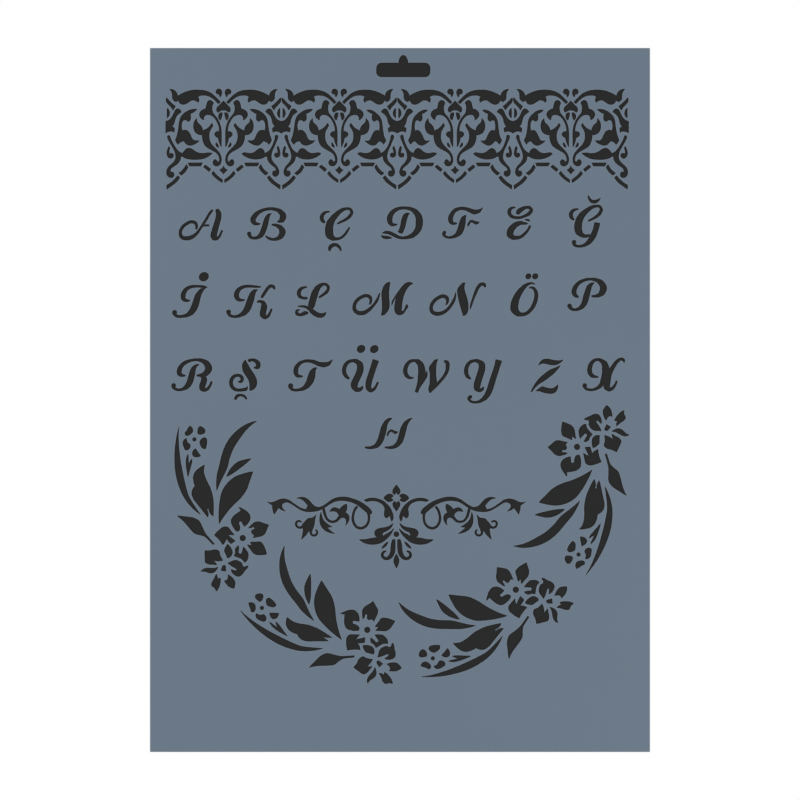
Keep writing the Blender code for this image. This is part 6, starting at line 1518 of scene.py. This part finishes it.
class Socket:
    """A node's output, which Python's arithmetic turns into Math nodes."""

    def __init__(self, tree: "ShaderTree", output: bpy.types.NodeSocket) -> None:
        """Wrap an output of a node in a tree."""
        self.tree = tree
        self.output = output

    def _maths(self, operation: str, first: "Socket | float", second: "Socket | float") -> "Socket":
        """Add a Math node for two values."""
        return self.tree.node("ShaderNodeMath", {"operation": operation}, {0: first, 1: second})

    def __add__(self, other: "Socket | float") -> "Socket":
        """Add."""
        return self._maths("ADD", self, other)

    __radd__ = __add__

    def __sub__(self, other: "Socket | float") -> "Socket":
        """Subtract."""
        return self._maths("SUBTRACT", self, other)

    def __rsub__(self, other: float) -> "Socket":
        """Subtract from a number."""
        return self._maths("SUBTRACT", other, self)

    def __mul__(self, other: "Socket | float") -> "Socket":
        """Multiply."""
        return self._maths("MULTIPLY", self, other)

    __rmul__ = __mul__

    def __pow__(self, other: float) -> "Socket":
        """Raise to a power."""
        return self._maths("POWER", self, other)


class ShaderTree:
    """The nodes of a new material or world."""

    def __init__(self, owner: bpy.types.Material | bpy.types.World) -> None:
        """Start the owner's node tree empty.

        Args:
            owner: The material or world.
        """
        owner.use_nodes = True
        self.owner = owner
        self.nodes = owner.node_tree.nodes
        self.links = owner.node_tree.links
        self.nodes.clear()

    def node(self, kind: str, settings: dict[str, Any] | None = None,
             inputs: dict[str | int, Any] | None = None, output: str | int | None = 0) -> Socket | None:
        """Add a node.

        Args:
            kind: The node's type.
            settings: Properties to set on the node before its sockets.
            inputs: A value or a Socket for each input, by name or number.
            output: Which output to wrap, or None for a node that has none.

        Returns:
            The wrapped output, if there is one.
        """
        node = self.nodes.new(kind)
        for name, value in (settings or {}).items():
            setattr(node, name, value)
        for name, value in (inputs or {}).items():
            if isinstance(value, Socket):
                self.links.new(value.output, node.inputs[name])
            else:
                node.inputs[name].default_value = value
        return None if output is None else Socket(self, node.outputs[output])

    def mix(self, data_type: str, factor: Socket, first: Any, second: Any) -> Socket:
        """Add a Mix node.

        Args:
            data_type: Whether it mixes numbers (FLOAT) or colours (RGBA).
            factor: The second value's share.
            first: The first value.
            second: The second value.

        Returns:
            The mixed value.
        """
        first_socket, second_socket, output = MIX_SOCKETS[data_type]
        return self.node("ShaderNodeMix", {"data_type": data_type}, {
            0: factor, first_socket: first, second_socket: second}, output)

    def seen_directly(self) -> Socket:
        """Tell the rays that show a background from those that carry its light.

        Returns:
            1 for the first kind, 0 for the second.
        """
        rays = [self.node("ShaderNodeLightPath", output=name)
                for name in ("Is Camera Ray", "Is Glossy Ray", "Is Transmission Ray")]
        return rays[0] + rays[1] + rays[2]

    def finish(self, surface: Socket, output: str = "ShaderNodeOutputMaterial") -> Any:
        """Link a shader to the output node and return the material or world."""
        self.node(output, inputs={"Surface": surface}, output=None)
        return self.owner


@dataclass(frozen=True)
class SatinFilm:
    """Finish of the plastic: an even satin film, paler at the cuts, partly their frosted melt and partly a
    painted highlight.
    """

    name: str = "satin_blue_grey_film"
    colour: Colour = (0.111, 0.153, 0.206)
    # Paler colour at the cut edges: partly the frosted melt of the cut, partly a painted highlight
    melt_and_highlight_colour: Colour = (0.185, 0.222, 0.262)
    roughness: float = 0.46
    cut_roughness_drop: float = 0.12
    cut_fade: float = 1.6
    grain_size: float = 0.0006
    grain_layers: float = 3.0
    grain_depth: float = 0.000006
    grain_roughness: float = 0.12
    grain_tone: float = 0.035
    cloud_size: float = 0.060
    cloud_layers: float = 2.0
    cloud_tone: float = 0.045
    streak_width: float = 0.0022
    streak_length: float = 0.110
    streak_layers: float = 2.0
    streak_tone: float = 0.030

    def material(self) -> bpy.types.Material:
        """Build the film's material.

        Returns:
            The material.
        """
        tree = ShaderTree(bpy.data.materials.new(self.name))
        place = tree.node("ShaderNodeTexCoord", output="Object")
        grain = self.noise(tree, place, self.grain_size, self.grain_layers)
        cloud = self.noise(tree, place, self.cloud_size, self.cloud_layers)
        drawn_out = tree.node("ShaderNodeMapping", inputs={
            "Vector": place, "Scale": (1 / self.streak_width, 1 / self.streak_length, 0.0)})
        streak = self.noise(tree, drawn_out, 1.0, self.streak_layers)
        cut = tree.node("ShaderNodeAttribute", {"attribute_name": CUT_ATTRIBUTE}, output="Fac")
        cut = cut ** self.cut_fade
        tone = 1.0 + cloud * self.cloud_tone + streak * self.streak_tone + grain * self.grain_tone
        # Paler towards the cut edges: partly the frosted melt of the cut, partly a painted highlight
        mixed = tree.mix("RGBA", cut, (*self.colour, 1.0), (*self.melt_and_highlight_colour, 1.0))
        toned = tree.node("ShaderNodeVectorMath", {"operation": "SCALE"}, {0: mixed, "Scale": tone})
        roughness = self.roughness + grain * self.grain_roughness - cut * self.cut_roughness_drop
        relief = tree.node("ShaderNodeBump", inputs={"Height": grain, "Distance": self.grain_depth})
        return tree.finish(tree.node("ShaderNodeBsdfPrincipled", inputs={
            "Base Color": toned, "Roughness": roughness, "Normal": relief}))

    @staticmethod
    def noise(tree: ShaderTree, place: Socket, size: float, layers: float) -> Socket:
        """Add a noise whose features have a real size.

        Args:
            tree: The material's nodes.
            place: Where on the piece the noise is read.
            size: Size of a feature in metres.
            layers: How many finer layers it has.

        Returns:
            The noise, which swings evenly about 0.
        """
        noise = tree.node("ShaderNodeTexNoise", inputs={
            "Vector": place, "Scale": 1 / size, "Detail": layers}, output="Fac")
        return noise - NOISE_MIDDLE


@dataclass(frozen=True)
class WhiteTable:
    """Finish of the table, which the camera sees near to full white, with its shadows kept."""

    name: str = "white_table"
    colour: Colour = (0.96, 0.96, 0.96)
    glow: float = 0.95

    def material(self) -> bpy.types.Material:
        """Build the table's material.

        Returns:
            The material.
        """
        tree = ShaderTree(bpy.data.materials.new(self.name))
        matt = tree.node("ShaderNodeBsdfDiffuse", inputs={"Color": (*self.colour, 1.0)})
        glow = tree.node("ShaderNodeEmission", inputs={"Color": WHITE, "Strength": 1.0})
        return tree.finish(tree.node("ShaderNodeMixShader", inputs={
            0: tree.seen_directly() * self.glow, 1: matt, 2: glow}))


@dataclass(frozen=True)
class MattCard:
    """Finish of the card that shows through the cuts: near-black and quite matt."""

    name: str = "dark_card"
    colour: Colour = (0.0250, 0.0254, 0.0253)

    def material(self) -> bpy.types.Material:
        """Build the card's material."""
        tree = ShaderTree(bpy.data.materials.new(self.name))
        return tree.finish(tree.node("ShaderNodeBsdfDiffuse", inputs={"Color": (*self.colour, 1.0)}))


@dataclass
class StencilSheet:
    """The openwork sheet: its motifs, how they share its height, and how its cuts are finished.

    The gaps are those above the slot, the border, each row of letters and the wreath, and the one below
    the wreath. Of the lip's widths, a cut's point takes the first that has room.
    """

    width: float
    height: float
    thickness: float
    name: str = "openwork_sheet"
    finish: SatinFilm = SatinFilm()
    slot: HangSlot = field(default_factory=HangSlot)
    border: ScrollBorder = field(default_factory=ScrollBorder)
    alphabet: Alphabet = field(default_factory=Alphabet)
    wreath: Wreath = field(default_factory=Wreath)
    gaps: tuple[float, ...] = (0.00355, 0.00585, 0.0085, 0.0215, 0.0210, 0.0069, 0.03405)
    last_letter_place: complex = complex(-0.0057, 0.00305)
    flatness: float = 0.00003
    kerf: float = 0.00011
    cut_step: float = 0.0009
    rim_step: float = 0.002
    lip_widths: tuple[float, ...] = (0.00030, 0.00018, 0.00010)
    lip_drop: float = 0.00003
    lip_clearance: float = 0.8
    lip_search_step: float = 0.00005
    fan_angle: float = math.radians(35)
    smooth_angle: float = math.radians(35)

    def layout(self) -> list[Polygon]:
        """Lay the motifs down the sheet, with the gaps stretched to fill it.

        Returns:
            All the cut-outs in metres.
        """
        rows = [self.alphabet.letter_height] * len(ROWS)
        wreath_height = self.wreath.fit(self.width)
        bands = [self.slot.reach(), self.border.height, *rows, wreath_height]
        stretch = (self.height - sum(bands)) / sum(self.gaps)
        tops = []
        level = self.height / 2
        for gap, band in zip(self.gaps, bands):
            level -= gap * stretch
            tops.append(level)
            level -= band
        polygons = self.slot.cut(tops[0])
        polygons += self.border.cut(tops[1] - self.border.height, self.width)
        for number, top in enumerate(tops[2:-1]):
            baseline = top - self.alphabet.letter_height
            polygons += self.alphabet.cut_row(number, baseline, self.width)
        centre = self.wreath.centre(tops[-1])
        polygons += self.wreath.cut(centre)
        return polygons + self.alphabet.cut_last(centre + self.last_letter_place)

    def inward(self, before: complex, at: complex, after: complex) -> Polygon:
        """Find the ways from a ring's point into the sheet: square to the ring, or a fan round a tip.

        Args:
            before: The ring's point before it.
            at: The point.
            after: The ring's point after it.

        Returns:
            Unit vectors.
        """
        arriving = (at - before) / abs(at - before)
        leaving = (after - at) / abs(after - at)
        turn = cmath.phase(leaving / arriving)
        if turn > -self.fan_angle:
            return [1j * arriving * cmath.exp(0.5j * turn)]
        count = math.ceil(-turn / self.fan_angle)
        return [1j * arriving * cmath.exp(1j * turn * number / count) for number in range(count + 1)]

    def widened(self, ring: Polygon) -> Polygon:
        """Move a cut's ring into the sheet by what the laser takes beyond the drawn line.

        Args:
            ring: The ring, with the sheet on its left.

        Returns:
            The wider ring.
        """
        moved = []
        for i, point in enumerate(ring):
            ways = self.inward(ring[i - 1], point, ring[(i + 1) % len(ring)])
            moved.append(point + sum(ways) / len(ways) * self.kerf)
        return moved

    def lip_points(self, rings: list[Polygon]) -> Polygon:
        """Find the line a lip's width inside each cut, where the flat face begins.

        Args:
            rings: Rings round the cut-outs and the rim, with the sheet on their left.

        Returns:
            Points beside the ring points, nearer to them where another cut is close.
        """
        cut_points = [point for ring in rings for point in divided(ring, self.lip_search_step)]
        tree = KDTree(len(cut_points))
        for number, point in enumerate(cut_points):
            tree.insert((point.real, point.imag, 0.0), number)
        tree.balance()
        lip = []
        for ring in rings:
            for i, point in enumerate(ring):
                for way in self.inward(ring[i - 1], point, ring[(i + 1) % len(ring)]):
                    for width in self.lip_widths:
                        inner = point + way * width
                        if tree.find((inner.real, inner.imag, 0.0))[2] > self.lip_clearance * width:
                            lip.append(inner)
                            break
        return lip

    def flat_mesh(self) -> bpy.types.Mesh:
        """Make the sheet's underside as a flat mesh, with its cut edges marked.

        Returns:
            The mesh, its marks 1 on the cuts and 0 on the face.
        """
        pattern = FlatPattern(self.width, self.height, self.rim_step)
        rings = pattern.rings(*pattern.triangulate(self.layout()))
        holes = [self.widened(divided(thinned(ring, self.flatness), self.cut_step)) for ring in rings
                 if signed_area(ring) < 0]
        points, triangles = pattern.triangulate(holes, self.lip_points([*holes, pattern.rim]))
        triangles = pattern.held(triangles)
        used = sorted({number for triangle in triangles for number in triangle})
        index = {number: place for place, number in enumerate(used)}
        mesh = bpy.data.meshes.new(self.name)
        corners = [(points[number].real, points[number].imag, 0.0) for number in used]
        mesh.from_pydata(corners, [], [[index[number] for number in triangle] for triangle in triangles])
        marks = mesh.attributes.new(CUT_ATTRIBUTE, "FLOAT", "POINT")
        for number in {number for edge in pattern.cut_edges(triangles) for number in edge}:
            marks.data[index[number]].value = 1.0
        return mesh

    def build(self) -> bpy.types.Object:
        """Model the sheet: the flat pattern is raised to its thickness and its cut edges are softened.

        Returns:
            The sheet.
        """
        sheet = bpy.data.objects.new(self.name, self.flat_mesh())
        bpy.context.collection.objects.link(sheet)
        bpy.ops.object.select_all(action="DESELECT")
        sheet.select_set(True)
        bpy.context.view_layer.objects.active = sheet
        bpy.ops.object.mode_set(mode="EDIT")
        bpy.ops.mesh.select_all(action="SELECT")
        bpy.ops.mesh.extrude_region_move(TRANSFORM_OT_translate={"value": (0.0, 0.0, self.thickness)})
        bpy.ops.mesh.select_all(action="SELECT")
        bpy.ops.mesh.normals_make_consistent(inside=False)
        bpy.ops.object.mode_set(mode="OBJECT")
        self.move_lip(sheet, on_top=True)
        self.move_lip(sheet, on_top=False)
        bpy.ops.object.shade_smooth_by_angle(angle=self.smooth_angle)
        for face in sheet.data.polygons:
            if abs(face.normal.z) > LEVEL:
                face.use_smooth = False
        return sheet

    def move_lip(self, sheet: bpy.types.Object, on_top: bool) -> None:
        """Soften the cut edges of one face by moving them a little into the sheet.

        Args:
            sheet: The sheet.
            on_top: Whether to move the upper face's edges or the underside's.
        """
        marks = sheet.data.attributes[CUT_ATTRIBUTE].data
        for corner, mark in zip(sheet.data.vertices, marks):
            corner.select = mark.value > 0 and (corner.co.z > self.thickness / 2) == on_top
        for edge in sheet.data.edges:
            edge.select = all(sheet.data.vertices[number].select for number in edge.vertices)
        for face in sheet.data.polygons:
            face.select = False
        bpy.ops.object.mode_set(mode="EDIT")
        bpy.ops.transform.translate(value=(0.0, 0.0, -self.lip_drop if on_top else self.lip_drop))
        bpy.ops.object.mode_set(mode="OBJECT")

    def dress(self, sheet: bpy.types.Object) -> None:
        """Give the sheet its finish and its place in the frame.

        Args:
            sheet: The sheet.
        """
        sheet.data.materials.append(self.finish.material())
        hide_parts(CAD_NODE)
        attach(sheet, "root")


@dataclass
class Studio:
    """White table, the dark card that shows through the cuts, soft lamps and a camera overhead."""

    sheet_width: float
    sheet_height: float
    table: WhiteTable = WhiteTable()
    table_size: float = 8.0
    table_thickness: float = 0.02
    card: MattCard = MattCard()
    card_inset: float = 0.0025
    card_thickness: float = 0.0005
    card_gap: float = 0.00005
    world_light: float = 0.62
    lamp_size: float = 1.3
    lamps: tuple[tuple[tuple[float, float, float], float], ...] = (
        ((-1.4, 0.6, 1.8), 14.0), ((1.4, -0.6, 1.8), 14.0))
    camera_height: float = 1.2
    sensor: float = 36.0
    picture_pixels: int = 800
    sheet_pixels: int = 500

    def slab(self, name: str, size: tuple[float, float], top: float, thickness: float,
             material: bpy.types.Material) -> bpy.types.Object:
        """Lay a flat slab that isn't part of the object.

        Args:
            name: Its name.
            size: Its width and height.
            top: Height of its upper face.
            thickness: Its thickness.
            material: Its material.

        Returns:
            The slab.
        """
        bpy.ops.object.select_all(action="DESELECT")
        bpy.ops.mesh.primitive_cube_add(size=1.0, location=(0.0, 0.0, top - thickness / 2))
        slab = bpy.context.object
        slab.name = name
        slab.scale = (*size, thickness)
        bpy.ops.object.transform_apply(location=True, rotation=False, scale=True)
        slab.data.materials.append(material)
        return slab

    def light(self) -> None:
        """Light the sheet evenly with a world that shows as white and two large lamps."""
        tree = ShaderTree(bpy.data.worlds.new("soft_light"))
        strength = tree.mix("FLOAT", tree.seen_directly(), self.world_light, 1.0)
        background = tree.node("ShaderNodeBackground", inputs={"Color": WHITE, "Strength": strength})
        bpy.context.scene.world = tree.finish(background, "ShaderNodeOutputWorld")
        for number, (place, power) in enumerate(self.lamps):
            lamp = bpy.data.lights.new(f"soft_lamp_{number}", "AREA")
            lamp.size = self.lamp_size
            lamp.energy = power
            holder = bpy.data.objects.new(lamp.name, lamp)
            holder.location = place
            holder.rotation_euler = Vector(place).to_track_quat("Z", "Y").to_euler()
            bpy.context.collection.objects.link(holder)

    def camera(self, above: float) -> None:
        """Hang the camera over the sheet's middle.

        Args:
            above: Height of the sheet's upper face.
        """
        camera = bpy.data.cameras.new("overhead_camera")
        view_width = self.sheet_width * self.picture_pixels / self.sheet_pixels
        camera.sensor_width = self.sensor
        camera.lens = self.sensor * self.camera_height / view_width
        holder = bpy.data.objects.new(camera.name, camera)
        holder.location = (0.0, 0.0, above + self.camera_height)
        bpy.context.collection.objects.link(holder)
        bpy.context.scene.camera = holder

    def set_up(self, above: float) -> None:
        """Build everything round the sheet.

        Args:
            above: Height of the sheet's upper face.
        """
        card_top = -self.card_gap
        card_size = (self.sheet_width - 2 * self.card_inset, self.sheet_height - 2 * self.card_inset)
        self.slab("dark_card", card_size, card_top, self.card_thickness, self.card.material())
        table_top = card_top - self.card_thickness
        table_size = (self.table_size, self.table_size)
        self.slab("white_table", table_size, table_top, self.table_thickness, self.table.material())
        self.light()
        self.camera(above)
        bpy.context.scene.view_settings.view_transform = "Standard"


def main() -> None:
    """Build the sheet and the studio round it, and log the sheet's number of faces."""
    logging.basicConfig(level=logging.INFO, format="%(message)s")
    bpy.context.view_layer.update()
    low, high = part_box(CAD_NODE)
    size = high - low
    stencil = StencilSheet(width=size.x, height=size.y, thickness=size.z)
    sheet = stencil.build()
    stencil.dress(sheet)
    logging.info("%s: %d faces", sheet.name, len(sheet.data.polygons))
    Studio(sheet_width=size.x, sheet_height=size.y).set_up(high.z)


if __name__ == "__main__":
    main()
